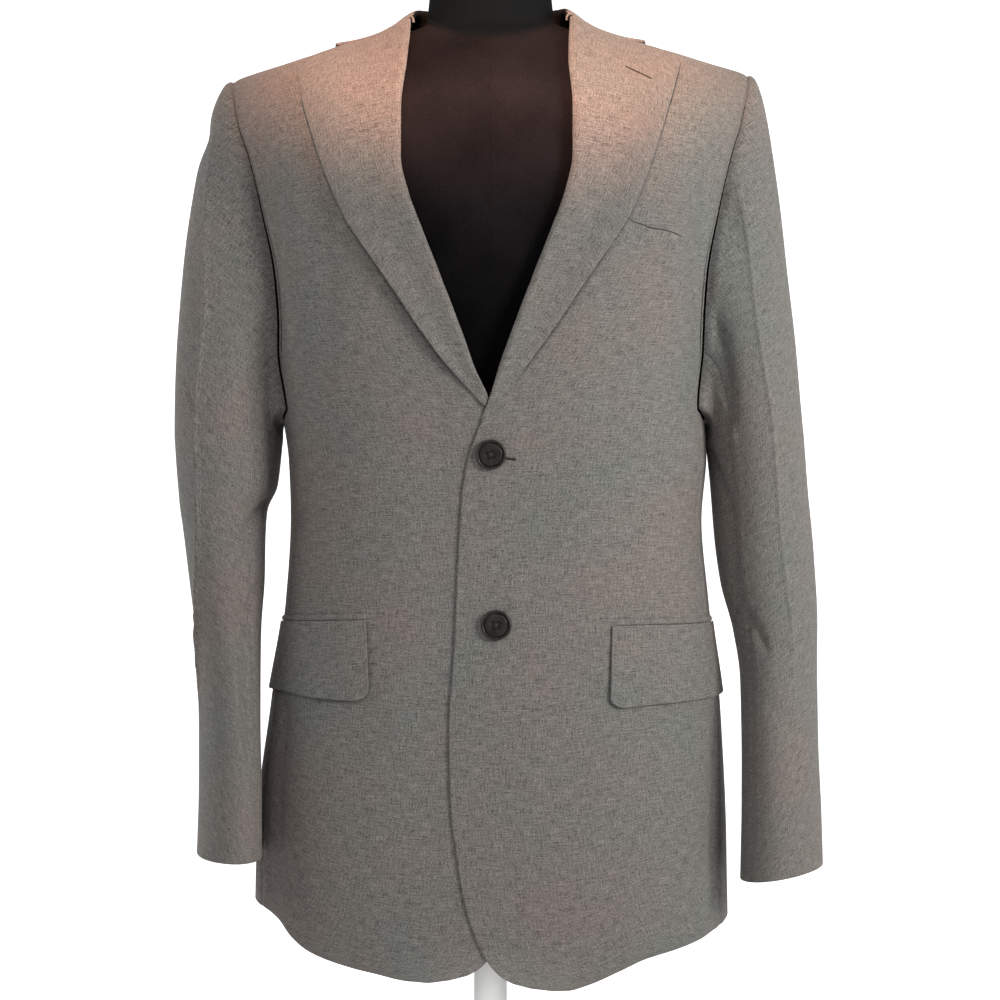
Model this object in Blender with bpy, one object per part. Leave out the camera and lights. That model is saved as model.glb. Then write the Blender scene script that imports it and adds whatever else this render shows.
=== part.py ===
"""A single breasted blazer on a limbless dress form.

Metres, +Z up.  The front faces -Y, and +X is the wearer's left.  The origin is the centre of
the stand's underside.  The cloth lies on one body surface: skin() gives its points from an
angle round the body and a level.  Up to BEND a level is a height over the hem, and above it
the levels close in on the shoulder seam at TOP.  Every panel is a wall WALL thick whose outer
face lies on that surface or is lifted from it, and pieces keep GAP between them.
"""

from collections import namedtuple

import bmesh
import bpy
import numpy as np
from mathutils import Vector

# Sizes that drive the rest.
HEM_HEIGHT = 0.300
WALL = 0.0018
GAP = 0.0003
BEND = 0.560
TOP = 0.860
ROOF_RADIUS = 0.110
ROUNDNESS = 2.4
HEM_REACH = 0.300

# Seams of the body, as angles from the centre front.
FRONT_SEAM = 72.0
BACK_SEAM = 118.0
SEAM_TURN = 0.08
ROOF = TOP - 0.0004
ARMPIT = 0.462
ARMPIT_DIP = 0.008
ARMHOLE_TOP = 0.545

# Form, stand and buttons.
FORM_INSET = 0.0028
FORM_RIDGE_INSET = 0.0010
FORM_WAIST_INSET = 0.006
FORM_NECK_INSET = 0.0020
FORM_BOTTOM = 0.070
FORM_ARM_PLATE = 0.166
NECK_RADIUS = 0.0525
NECK_TOP = 0.868
NECK_CENTRE_Y = 0.008
POLE_RADIUS = 0.014
SOCKET_RADIUS = 0.034
SOCKET_HEIGHT = 0.030
SOCKET_TAPER = 0.012
BASE_RADIUS = 0.165
BASE_THICK = 0.014
BUTTON_RADIUS = 0.012
BUTTON_THICK = 0.0038
BUTTON_LIFT = 0.0006
SLEEVE_HEAD_ROWS = 7

Ring = namedtuple("Ring", "level half_width front back shift")
BODY = (
    Ring(-0.030, 0.1965, 0.122, 0.129, 0.0010),
    Ring(0.000, 0.1960, 0.122, 0.129, 0.0010),
    Ring(0.100, 0.1945, 0.122, 0.128, 0.0015),
    Ring(0.200, 0.1885, 0.121, 0.126, 0.0045),
    Ring(0.300, 0.1775, 0.118, 0.115, 0.0055),
    Ring(0.370, 0.1720, 0.116, 0.107, 0.0050),
    Ring(0.420, 0.1750, 0.118, 0.107, 0.0060),
    Ring(0.470, 0.1775, 0.123, 0.114, 0.0015),
    Ring(0.520, 0.1855, 0.127, 0.122, 0.0),
    Ring(0.560, 0.1905, 0.128, 0.127, 0.0),
    Ring(0.624, 0.2005, 0.126, 0.131, 0.0),
    Ring(0.682, 0.2140, 0.122, 0.130, 0.0),
    Ring(0.721, 0.2230, 0.118, 0.127, 0.0),
    Ring(0.780, 0.2310, 0.113, 0.121, 0.0),
    Ring(0.860, 0.2400, 0.108, 0.116, 0.0),
)

ShoulderPoint = namedtuple("ShoulderPoint", "reach height")
SHOULDER = (
    ShoulderPoint(0.000, 0.8000),
    ShoulderPoint(0.060, 0.7905),
    ShoulderPoint(0.075, 0.7838),
    ShoulderPoint(0.097, 0.7756),
    ShoulderPoint(0.127, 0.7688),
    ShoulderPoint(0.177, 0.7545),
    ShoulderPoint(0.240, 0.7350),
)
SHOULDER_TILT = 0.012

# Height of the hem over its lowest point, by angle, the wearer's right side negative.
HemPoint = namedtuple("HemPoint", "angle lift")
HEM = (
    HemPoint(-180.0, 0.046),
    HemPoint(-120.0, 0.050),
    HemPoint(-90.0, 0.057),
    HemPoint(-71.0, 0.054),
    HemPoint(-60.0, 0.0465),
    HemPoint(-52.0, 0.0345),
    HemPoint(-45.0, 0.0260),
    HemPoint(-30.0, 0.0155),
    HemPoint(-22.0, 0.011),
    HemPoint(-15.0, 0.004),
    HemPoint(-9.0, 0.000),
    HemPoint(14.0, 0.000),
    HemPoint(19.0, 0.004),
    HemPoint(27.0, 0.0135),
    HemPoint(35.0, 0.022),
    HemPoint(46.0, 0.0272),
    HemPoint(61.0, 0.0335),
    HemPoint(90.0, 0.044),
    HemPoint(120.0, 0.046),
    HemPoint(180.0, 0.046),
)

# Distance from the centre line to the front's edge: hem corner, overlap, then the roll line.
EdgePoint = namedtuple("EdgePoint", "level reach")
FRONT_EDGE = (
    EdgePoint(0.000, 0.0500),
    EdgePoint(0.004, 0.0237),
    EdgePoint(0.012, 0.0080),
    EdgePoint(0.025, -0.0030),
    EdgePoint(0.045, -0.0125),
    EdgePoint(0.070, -0.0200),
    EdgePoint(0.100, -0.0253),
    EdgePoint(0.150, -0.0312),
    EdgePoint(0.205, -0.0325),
    EdgePoint(0.270, -0.0284),
    EdgePoint(0.357, -0.0245),
    EdgePoint(0.390, -0.0222),
    EdgePoint(0.420, -0.0174),
    EdgePoint(0.443, -0.0095),
    EdgePoint(0.463, -0.0010),
    EdgePoint(0.490, 0.0105),
    EdgePoint(0.525, 0.0235),
    EdgePoint(0.560, 0.0370),
    EdgePoint(0.592, 0.0520),
    EdgePoint(0.622, 0.0645),
    EdgePoint(0.647, 0.0700),
    EdgePoint(0.686, 0.0700),
    EdgePoint(0.733, 0.0668),
    EdgePoint(0.800, 0.0665),
    EdgePoint(0.836, 0.0680),
    EdgePoint(0.860, 0.0735),
)
LAPEL_EDGE = (
    EdgePoint(0.4500, -0.0040),
    EdgePoint(0.4600, 0.0036),
    EdgePoint(0.4640, 0.0068),
    EdgePoint(0.4840, 0.0232),
    EdgePoint(0.4990, 0.0350),
    EdgePoint(0.5260, 0.0545),
    EdgePoint(0.5600, 0.0770),
    EdgePoint(0.5825, 0.0940),
    EdgePoint(0.6090, 0.1120),
    EdgePoint(0.6395, 0.1250),
    EdgePoint(0.6910, 0.1405),
    EdgePoint(0.7337, 0.1495),
    EdgePoint(0.7770, 0.1540),
    EdgePoint(0.8600, 0.1560),
)
LAPEL_SHIFT = -0.0025
LAPEL_FOOT = {"left": 0.451, "right": 0.4628}
LAPEL_HEAD = ((0.0, 0.812), (0.62, 0.811), (1.0, 0.777))
LAPEL_LIFT = 0.0005
LAPEL_OVER = 0.001
LAPEL_CLEAR = 0.001
LAPEL_ROLL = 0.0022

# Distance of the armhole seam from the centre line.
ARMHOLE = (
    EdgePoint(0.520, 0.1745),
    EdgePoint(0.572, 0.1780),
    EdgePoint(0.624, 0.1870),
    EdgePoint(0.682, 0.1985),
    EdgePoint(0.721, 0.2070),
    EdgePoint(0.800, 0.2150),
    EdgePoint(0.860, 0.2172),
)
NECKLINE = (
    EdgePoint(0.000, 0.7730),
    EdgePoint(0.030, 0.7778),
    EdgePoint(0.050, 0.7933),
    EdgePoint(0.060, 0.8087),
    EdgePoint(0.068, 0.8280),
    EdgePoint(0.0745, ROOF),
    EdgePoint(0.240, ROOF),
)

# The collar from its end at the gorge to the centre back: roll, stand seam and leaf edge.
Station = namedtuple("Station", "place roll_x roll_y roll_z seam_x seam_y edge_x edge_y")
COLLAR = (
    Station(0.0, 0.0655, -0.0380, 0.7893, 0.0632, -0.0370, 0.1210, -0.0330),
    Station(0.6, 0.0650, -0.0270, 0.7935, 0.0645, -0.0260, 0.1297, 0.0010),
    Station(1.5, 0.0636, -0.0020, 0.8004, 0.0690, -0.0010, 0.1270, 0.0200),
    Station(2.5, 0.0610, 0.0260, 0.8062, 0.0655, 0.0260, 0.1120, 0.0480),
    Station(3.5, 0.0460, 0.0560, 0.8110, 0.0470, 0.0575, 0.0830, 0.0720),
    Station(4.5, 0.0240, 0.0700, 0.8140, 0.0240, 0.0700, 0.0430, 0.0920),
    Station(5.5, 0.0000, 0.0740, 0.8145, 0.0000, 0.0735, 0.0000, 0.0980),
)
# Rows of the collar's leaf from the roll to its edge, and how steeply it falls from the roll.
LEAF_ROWS = (0.07, 0.18, 0.36, 0.66, 1.0)
LEAF_FALL = 3.4

# Sections of the hanging sleeves, reach is from the centre line and turn is toe-in.
Section = namedtuple("Section", "height reach centre_y half_width half_depth turn")
SLEEVES = {
    "right": (
        Section(0.099, 0.2130, -0.063, 0.0250, 0.0520, 17.0),
        Section(0.140, 0.2130, -0.056, 0.0245, 0.0530, 16.0),
        Section(0.190, 0.2140, -0.046, 0.0245, 0.0540, 14.0),
        Section(0.240, 0.2157, -0.035, 0.0255, 0.0550, 11.0),
        Section(0.280, 0.2180, -0.024, 0.0275, 0.0560, 8.0),
        Section(0.320, 0.2200, -0.014, 0.0315, 0.0580, 6.0),
        Section(0.360, 0.2227, -0.007, 0.0343, 0.0610, 4.0),
        Section(0.380, 0.2235, -0.005, 0.0365, 0.0630, 3.0),
        Section(0.400, 0.2205, -0.003, 0.0415, 0.0650, 2.0),
        Section(0.440, 0.2200, 0.000, 0.0450, 0.0690, 0.0),
    ),
    "left": (
        Section(0.084, 0.2385, -0.0515, 0.0335, 0.0500, 11.0),
        Section(0.140, 0.2393, -0.044, 0.0325, 0.0510, 11.0),
        Section(0.190, 0.2390, -0.037, 0.0315, 0.0525, 10.0),
        Section(0.240, 0.2390, -0.029, 0.0320, 0.0540, 8.0),
        Section(0.280, 0.2375, -0.019, 0.0350, 0.0560, 6.0),
        Section(0.320, 0.2325, -0.011, 0.0395, 0.0580, 4.0),
        Section(0.360, 0.2290, -0.005, 0.0410, 0.0610, 3.0),
        Section(0.400, 0.2256, -0.001, 0.0405, 0.0650, 1.0),
        Section(0.440, 0.2220, 0.000, 0.0410, 0.0690, 0.0),
    ),
}
# How far the sleeve heads swell outwards, how far they stand off the armhole at first, and how
# much higher the cuff's outer side is than its middle.
SLEEVE_SWELL = {"right": 0.0000, "left": -0.0160}
SLEEVE_LEAVE = {"right": 0.0110, "left": 0.0080}
SLEEVE_SPRING = 0.030
CUFF_TILT = {"right": 0.0, "left": 0.0060}
SLEEVE_SEAMS = (130.0, 262.0)

# Pocket flaps: front edge reach, top and bottom over the hem, how much lower both are at the
# back, degrees that the front edge leans to the centre, and the angle of the back end.
Flap = namedtuple("Flap", "reach top bottom fall sag lean end")
FLAPS = {
    "right": Flap(0.0985, 0.2920, 0.2244, 0.0078, 0.0095, 2.9, 86.0),
    "left": Flap(0.0965, 0.2874, 0.2185, 0.0024, 0.0025, 1.6, 86.0),
}
FLAP_WALL = 0.0016
FLAP_LIFT = 0.0006
FLAP_FLARE = 0.0014
FLAP_CORNER = 0.011
FLAP_BEND_RADIUS = 0.145
JET_HEIGHT = 0.0052
JET_WALL = 0.0010
WELT_HEIGHT = 0.023
WELT_TOP = 0.6085
WELT_FALL = 0.0140
WELT_END = 0.156
WELT_GAP = 0.0012
WELT_WALL = 0.0012
BUTTONS = {"upper": (0.0008, 0.424), "lower": (0.0050, 0.289)}

# Soft folds of the skirt: angle, half width in degrees, depth, and level where each fades.
Fold = namedtuple("Fold", "angle width depth level")
FOLDS = (
    Fold(-62.0, 7.0, -0.0022, 0.17),
    Fold(-82.0, 9.0, 0.0020, 0.20),
    Fold(66.0, 7.0, -0.0020, 0.20),
    Fold(86.0, 9.0, 0.0018, 0.22),
    Fold(118.0, 10.0, -0.0025, 0.22),
    Fold(150.0, 12.0, 0.0025, 0.24),
    Fold(-114.0, 10.0, -0.0022, 0.24),
    Fold(-146.0, 12.0, 0.0028, 0.22),
)
TUCK = 0.0024
UNDER_HEM = 0.006

# Levels of the panels' rows and the form's rings.
BACK_COLUMNS = (0.0, 0.12, 0.24, 0.36, 0.48, 0.59, 0.68, 0.76, 0.83, 0.89, 0.945, 1.0)
FORM_ROWS = (0.03, 0.10, 0.17, 0.24, 0.30, 0.36, 0.42, 0.47, 0.52)
HEM_CORNER_ROWS = (0.0, 0.004, 0.012, 0.025, 0.045, 0.070, 0.100)
HEM_ROWS = (0.0, 0.045, 0.100)
LOWER_ROWS = (0.150, 0.205, 0.255, 0.300, 0.345, 0.390, 0.430, ARMPIT)
UPPER_ROWS = (0.490, 0.525) + tuple(np.linspace(BEND, ROOF, 10))

Finish = namedtuple("Finish", "colour roughness metallic")
FINISHES = {
    "wool": Finish((0.19, 0.18, 0.165), 0.85, 0.0),
    "horn": Finish((0.03, 0.022, 0.018), 0.35, 0.0),
    "black_jersey": Finish((0.018, 0.013, 0.013), 0.9, 0.0),
    "white_enamel": Finish((0.80, 0.80, 0.79), 0.35, 0.0),
}


def read(table, column, at):
    """Read one column of a table at the given places of its first column, as a smooth curve."""
    places = np.array([row[0] for row in table])
    values = np.array([getattr(row, column) for row in table])
    steps = np.diff(places)
    rates = np.diff(values) / steps
    slopes = np.concatenate(([rates[0]], np.zeros(len(rates) - 1), [rates[-1]]))
    together = rates[:-1] * rates[1:] > 0
    mean = 2 * rates[:-1] * rates[1:] / np.where(together, rates[:-1] + rates[1:], 1.0)
    slopes[1:-1] = np.where(together, mean, 0.0)
    at = np.clip(at, places[0], places[-1])
    cell = np.clip(np.searchsorted(places, at) - 1, 0, len(steps) - 1)
    part = (at - places[cell]) / steps[cell]
    return (
        values[cell] * (1 + 2 * part) * (1 - part) ** 2
        + slopes[cell] * steps[cell] * part * (1 - part) ** 2
        + values[cell + 1] * part**2 * (3 - 2 * part)
        + slopes[cell + 1] * steps[cell] * part**2 * (part - 1)
    )


def ease(value, low, high):
    """Rise smoothly from 0 at low to 1 at high."""
    part = np.clip((value - low) / (high - low), 0.0, 1.0)
    return part * part * (3 - 2 * part)


def angle_at(x, level):
    """Angle, in degrees from the centre front, of the front's point at x."""
    away = (x - read(BODY, "shift", level)) / read(BODY, "half_width", level)
    return np.degrees(np.sign(away) * np.arcsin(np.minimum(np.abs(away), 1.0) ** (ROUNDNESS / 2)))


def ridge_at(x):
    """Height of the shoulder ridge, which rises a little to the wearer's left."""
    return read(SHOULDER, "height", np.abs(x)) + SHOULDER_TILT * x


def height_at(x, level, angle):
    """Height over the hem's lowest point."""
    ridge = ridge_at(x)
    turn = np.radians(90.0 * (level - BEND) / (TOP - BEND))
    above = BEND + (ridge - BEND) * np.sin(np.clip(turn, 0.0, np.pi / 2))
    below = level + read(HEM, "lift", angle) * np.clip(1 - level / HEM_REACH, 0.0, None)
    return np.where(level > BEND, above, below)


def skin(angle, level):
    """Points of the body surface, where angle 0 is the centre front and 90 the wearer's left."""
    turn = np.radians(angle)
    reach = np.sign(np.sin(turn)) * np.abs(np.sin(turn)) ** (2 / ROUNDNESS)
    x = read(BODY, "shift", level) + read(BODY, "half_width", level) * reach
    z = height_at(x, level, angle)
    drop = np.clip(ridge_at(x) - z, 0.0, ROOF_RADIUS)
    roof = np.sqrt(1 - (1 - drop / ROOF_RADIUS) ** 2)
    depth = np.where(np.cos(turn) > 0, read(BODY, "front", level), read(BODY, "back", level))
    y = -np.sign(np.cos(turn)) * depth * np.abs(np.cos(turn)) ** (2 / ROUNDNESS) * roof
    return np.stack([x, y, z + HEM_HEIGHT], axis=-1)


def unit(vectors):
    """The vectors at length 1."""
    return vectors / np.linalg.norm(vectors, axis=-1, keepdims=True)


def outward(angle, level):
    """Unit normals of the body surface."""
    lower = np.minimum(level, ROOF)
    across = skin(angle + 0.2, lower) - skin(angle - 0.2, lower)
    along = skin(angle, lower + 0.0003) - skin(angle, lower - 0.0003)
    return unit(np.cross(across, along))


def fold_lift(angle, level):
    """How far the skirt's folds lift the cloth off the body surface."""
    lift = np.zeros(np.broadcast(angle, level).shape)
    for fold in FOLDS:
        away = (angle - fold.angle + 180.0) % 360.0 - 180.0
        lift += fold.depth * np.exp(-((away / fold.width) ** 2)) * ease(-level, -fold.level, -0.02)
    return lift


def cloth_point(angle, level, lift):
    """Point of the cloth at a lift over the body surface, folds included."""
    away = np.asarray(lift + fold_lift(angle, level))
    return skin(angle, level) + outward(angle, level) * away[..., None]


def front_angle(side, reach, level):
    """Angle of a place on a front, whose reach is measured from the centre line to its side."""
    lean = LAPEL_SHIFT * ease(level, 0.46, 0.50) * (1 - ease(level, 0.70, 0.80))
    sign = 1.0 if side == "left" else -1.0
    return angle_at(sign * reach + lean, level)


def tuck_lift(side, angle, level):
    """The under front goes behind the overlap."""
    if side == "left":
        return np.zeros(np.broadcast(angle, level).shape)
    return -TUCK * ease(angle, -24.0, -9.0) * ease(-level, -0.500, -0.466)


def finish_material(name):
    """The Principled material of one finish."""
    if name in bpy.data.materials:
        return bpy.data.materials[name]
    finish = FINISHES[name]
    material = bpy.data.materials.new(name)
    material.use_nodes = True
    shader = material.node_tree.nodes["Principled BSDF"]
    shader.inputs["Base Color"].default_value = (*finish.colour, 1.0)
    shader.inputs["Roughness"].default_value = finish.roughness
    shader.inputs["Metallic"].default_value = finish.metallic
    return material


def add_object(name, shape, finish):
    """Turn a bmesh into a named object with its finish."""
    bmesh.ops.recalc_face_normals(shape, faces=shape.faces)
    if shape.calc_volume(signed=True) < 0:
        bmesh.ops.reverse_faces(shape, faces=shape.faces)
    mesh = bpy.data.meshes.new(name)
    shape.to_mesh(mesh)
    shape.free()
    mesh.materials.append(finish_material(finish))
    mesh.shade_smooth()
    mesh.set_sharp_from_angle(angle=np.radians(40.0))
    thing = bpy.data.objects.new(name, mesh)
    bpy.context.collection.objects.link(thing)
    return thing


def add_wall(name, outer, inner, finish="wool"):
    """A closed wall between two grids of points, extruded from one to the other."""
    rows, columns = outer.shape[:2]
    shape = bmesh.new()
    bmesh.ops.create_grid(shape, x_segments=columns - 1, y_segments=rows - 1, size=1.0)
    cell = shape.verts.layers.int.new("cell")
    for vert in shape.verts:
        column = round((vert.co.x + 1) / 2 * (columns - 1))
        row = round((vert.co.y + 1) / 2 * (rows - 1))
        vert[cell] = row * columns + column
    pulled = bmesh.ops.extrude_face_region(shape, geom=shape.faces[:])["geom"]
    outer_verts = {item for item in pulled if isinstance(item, bmesh.types.BMVert)}
    for vert in shape.verts:
        grid = outer if vert in outer_verts else inner
        vert.co = grid.reshape(-1, 3)[vert[cell]]
    return add_object(name, shape, finish)


def add_turned(name, profile, segments, finish):
    """A solid turned round Z from a profile of (radius, height) that starts and ends on Z."""
    shape = bmesh.new()
    verts = [shape.verts.new((radius, 0.0, height)) for radius, height in profile]
    edges = [shape.edges.new(pair) for pair in zip(verts, verts[1:])]
    bmesh.ops.spin(
        shape, geom=verts + edges, axis=(0, 0, 1), cent=(0, 0, 0),
        steps=segments, angle=2 * np.pi, use_merge=True,
    )
    bmesh.ops.remove_doubles(shape, verts=shape.verts, dist=1e-5)
    return add_object(name, shape, finish)


def panel(name, angles, levels, lift=0.0):
    """A cloth panel over grids of angles and levels."""
    outer = cloth_point(angles, levels, lift)
    inner = cloth_point(angles, levels, lift - WALL)
    return add_wall(name, outer, inner)


def armhole_angle(side, level):
    """Angle of the front's or the back's armhole seam, above the armpit."""
    sign = 1.0 if side == "left" else -1.0
    return np.abs(angle_at(sign * read(ARMHOLE, "reach", level), level))


def outer_angle(side, level, seam):
    """Outer edge of a front or back: the side seam, then the armhole."""
    hole = armhole_angle(side, level)
    if seam > 90.0:
        hole = 180.0 - hole
    return np.where(level > ARMPIT + 1e-6, seam + (hole - seam) * ease(level, ARMPIT, ARMHOLE_TOP), seam)


def front_grid(side):
    """Angles and levels of a front, from its edge to the side seam and the armhole."""
    sign = 1.0 if side == "left" else -1.0
    rows = np.array(HEM_CORNER_ROWS + LOWER_ROWS + UPPER_ROWS)
    inner = front_angle(side, read(FRONT_EDGE, "reach", rows), rows)
    outer = sign * (outer_angle(side, rows, FRONT_SEAM) - SEAM_TURN)
    across = np.linspace(0.0, 1.0, 13)
    angles = inner[:, None] + (outer - inner)[:, None] * across
    levels = np.broadcast_to(rows[:, None], angles.shape)
    if side == "right":
        levels = levels + UNDER_HEM * ease(angles, -22.0, -8.0) * np.clip(1 - levels / HEM_REACH, 0, None)
    return angles, levels


def make_front(side):
    """One front, from its edge to the side seam and the armhole."""
    angles, levels = front_grid(side)
    panel(f"front_{side}", angles, levels, tuck_lift(side, angles, levels))


def make_side(side):
    """One side panel, under the armhole."""
    sign = 1.0 if side == "left" else -1.0
    rows = np.array(HEM_ROWS + LOWER_ROWS)
    turns = sign * np.linspace(FRONT_SEAM + SEAM_TURN, BACK_SEAM - SEAM_TURN, 7)
    angles, levels = np.meshgrid(turns, rows)
    panel(f"side_{side}", angles, levels - armpit_dip(angles, levels))


def armpit_dip(angle, level):
    """The side panel's top edge is hollowed under the arm."""
    middle = (FRONT_SEAM + BACK_SEAM) / 2
    across = np.clip((np.abs(angle) - middle) / (BACK_SEAM - middle), -1.0, 1.0)
    return ARMPIT_DIP * (1 - across**2) * ease(level, LOWER_ROWS[5], ARMPIT)


def make_back(side):
    """One half of the back, from the centre seam to the side seam, armhole and neck."""
    sign = 1.0 if side == "left" else -1.0
    rows = np.array(HEM_ROWS + LOWER_ROWS + UPPER_ROWS)
    outer = outer_angle(side, rows, BACK_SEAM) + SEAM_TURN
    across = np.array(BACK_COLUMNS)
    angles = outer[:, None] + (180.0 - SEAM_TURN - outer)[:, None] * across
    levels = np.broadcast_to(rows[:, None], angles.shape)
    x = np.abs(skin(sign * angles, levels)[..., 0])
    neck = read(NECKLINE, "reach", x)
    levels = np.where(levels > BEND, BEND + (levels - BEND) * (neck - BEND) / (ROOF - BEND), levels)
    panel(f"back_{side}", sign * angles, levels)


def lapel_roll(side, levels):
    """Reach of a lapel's roll; under the buttoning the wearer's right one keeps clear of the left."""
    roll = read(FRONT_EDGE, "reach", levels) - LAPEL_OVER
    if side == "right":
        roll = np.maximum(roll, LAPEL_CLEAR - roll)
    return roll


def lapel_grid(side):
    """Angles and levels of a lapel, rows from the foot up and columns from roll to edge."""
    across = np.linspace(0.0, 1.0, 8)
    foot = LAPEL_FOOT[side]
    stops = np.array(LAPEL_HEAD)
    head = np.interp(across, stops[:, 0], stops[:, 1])
    climb = np.linspace(0.0, 1.0, 17)[:, None]
    levels = foot + (head - foot) * climb
    roll = lapel_roll(side, levels)
    edge = read(LAPEL_EDGE, "reach", levels)
    return front_angle(side, roll + (edge - roll) * across, levels), levels, across


def make_lapel(side):
    """One lapel, folded back over the front."""
    angles, levels, across = lapel_grid(side)
    lift = LAPEL_LIFT + LAPEL_ROLL * (1 - across) ** 3
    outer = cloth_point(angles, levels, lift + WALL)
    inner = cloth_point(angles, levels, lift)
    add_wall(f"lapel_{side}", outer, inner)


def surface_over(x, y):
    """Angles and levels of the body surface at x and y, on the shoulders and the neck."""
    low = np.full(np.shape(x), BEND)
    high = np.full(np.shape(x), TOP)
    for _ in range(40):
        middle = (low + high) / 2
        front = angle_at(x, middle)
        angle = np.where(y < 0, front, 180.0 - front)
        inside = np.abs(skin(angle, middle)[..., 1]) > np.abs(y)
        low = np.where(inside, middle, low)
        high = np.where(inside, high, middle)
    return angle, low


def collar_line(places):
    """Middle surface of the collar: rows from the stand's seam over the roll to the leaf's edge."""
    sign = np.where(places < 0, -1.0, 1.0)
    station = COLLAR[-1].place - np.abs(places)
    get = {name: read(COLLAR, name, station) for name in Station._fields}
    seam = np.stack([sign * get["seam_x"], get["seam_y"]], axis=-1)
    roll = np.stack([sign * get["roll_x"], get["roll_y"]], axis=-1)
    edge = np.stack([sign * get["edge_x"], get["edge_y"]], axis=-1)
    outwards = unit(edge - roll)
    angle, level = surface_over(seam[:, 0], seam[:, 1])
    foot_z = skin(angle, level)[:, 2] + 0.0004
    top_z = get["roll_z"] + SHOULDER_TILT * roll[:, 0] + HEM_HEIGHT - WALL / 2
    inner_top = roll - outwards * 0.0022
    rows = [
        np.column_stack([seam, foot_z]),
        np.column_stack([(seam + inner_top) / 2, (foot_z + top_z - 0.003) / 2]),
        np.column_stack([inner_top, top_z - 0.0028]),
        np.column_stack([roll, top_z]),
    ]
    angle, level = surface_over(roll[:, 0], roll[:, 1])
    rise = top_z - skin(angle, level)[:, 2]
    for part in LEAF_ROWS:
        xy = roll + (edge - roll) * part
        angle, level = surface_over(xy[:, 0], xy[:, 1])
        lift = LAPEL_LIFT + WALL / 2 + (rise - 0.0014) * (1 - part) ** LEAF_FALL
        rows.append(skin(angle, level) + outward(angle, level) * lift[:, None])
    return np.stack(rows)


def grid_normals(points):
    """Unit normals of a grid of points, from its neighbours."""
    return unit(np.cross(np.gradient(points, axis=1), np.gradient(points, axis=0)))


def make_collar():
    """The collar: stand, roll and leaf in one piece round the neck."""
    end = COLLAR[-1].place
    half = np.array([0.0, 0.3, 0.6, 1.0, 1.5, 2.0, 2.5, 3.0, 3.5, 4.0, 4.5, 5.0]) - end
    places = np.concatenate([half, [0.0], -half[::-1]])
    middle = collar_line(places)
    normals = grid_normals(middle)
    add_wall("collar", middle + normals * WALL / 2, middle - normals * WALL / 2)


def armhole_loop(side):
    """Armhole seam from the shoulder down the front, under the arm and up the back."""
    sign = 1.0 if side == "left" else -1.0
    rows = np.array((ARMPIT,) + UPPER_ROWS)
    front = sign * outer_angle(side, rows, FRONT_SEAM)
    back = sign * outer_angle(side, rows, BACK_SEAM)
    turns = sign * np.linspace(FRONT_SEAM, BACK_SEAM, 7)[1:-1]
    angles = np.concatenate([front[::-1], turns, back[:-1]])
    under = ARMPIT - armpit_dip(turns, np.full(5, ARMPIT))
    levels = np.concatenate([rows[::-1], under, rows[:-1]])
    return angles, levels


def sleeve_ring(side, height, turns):
    """Points of a hanging sleeve's section, turn 0 outside and 90 in front."""
    sign = 1.0 if side == "left" else -1.0
    table = SLEEVES[side]
    toe = np.radians(read(table, "turn", height))
    out = np.cos(turns) * read(table, "half_width", height)
    ahead = np.sin(turns) * read(table, "half_depth", height)
    x = read(table, "reach", height) + out * np.cos(toe) - ahead * np.sin(toe)
    y = read(table, "centre_y", height) - ahead * np.cos(toe) - out * np.sin(toe)
    tilt = CUFF_TILT[side] * np.cos(turns) * ease(-height, -table[1].height, -table[0].height)
    return np.stack([sign * x, y, height + HEM_HEIGHT + tilt], axis=-1)


def sleeve_grid(side):
    """Outer face of a whole sleeve, rows from the armhole to the cuff, closed round."""
    sign = 1.0 if side == "left" else -1.0
    angles, levels = armhole_loop(side)
    seam = cloth_point(angles, levels, 0.0)
    ring = np.vstack([seam, seam[:1]])
    length = np.concatenate([[0.0], np.cumsum(np.linalg.norm(np.diff(ring, axis=0), axis=1))])
    turns = 2 * np.pi * length[:-1] / length[-1]
    tangent = unit(np.roll(seam, -1, axis=0) - np.roll(seam, 1, axis=0))
    normal = outward(angles, levels)
    away = sign * np.cross(normal, tangent)
    start = seam + normal * 0.0004 + away * 0.0005
    heights = np.array([section.height for section in SLEEVES[side]])[::-1]
    first = sleeve_ring(side, heights[0], turns)
    reach = np.linalg.norm(first - start, axis=1)[:, None]
    leave = unit(np.stack(
        [np.full(len(turns), sign), -0.25 * np.sin(turns), 0.10 * np.cos(turns)], axis=-1))
    swell = SLEEVE_SWELL[side] * np.cos(turns / 2) ** 2
    arrive = np.stack([sign * swell, np.zeros(len(turns)), 0.55 * reach[:, 0]], axis=-1)
    rows = []
    for part in np.linspace(0.0, 1.0, SLEEVE_HEAD_ROWS + 1)[:, None]:
        part = part**1.25
        rows.append(
            start * (1 - part) ** 3
            + (start + leave * (SLEEVE_LEAVE[side] + SLEEVE_SPRING * reach)) * 3 * part * (1 - part) ** 2
            + (first + arrive) * 3 * part**2 * (1 - part)
            + first * part**3
        )
    rows.extend(sleeve_ring(side, height, turns) for height in heights[1:])
    return np.stack(rows), turns, away


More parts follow.
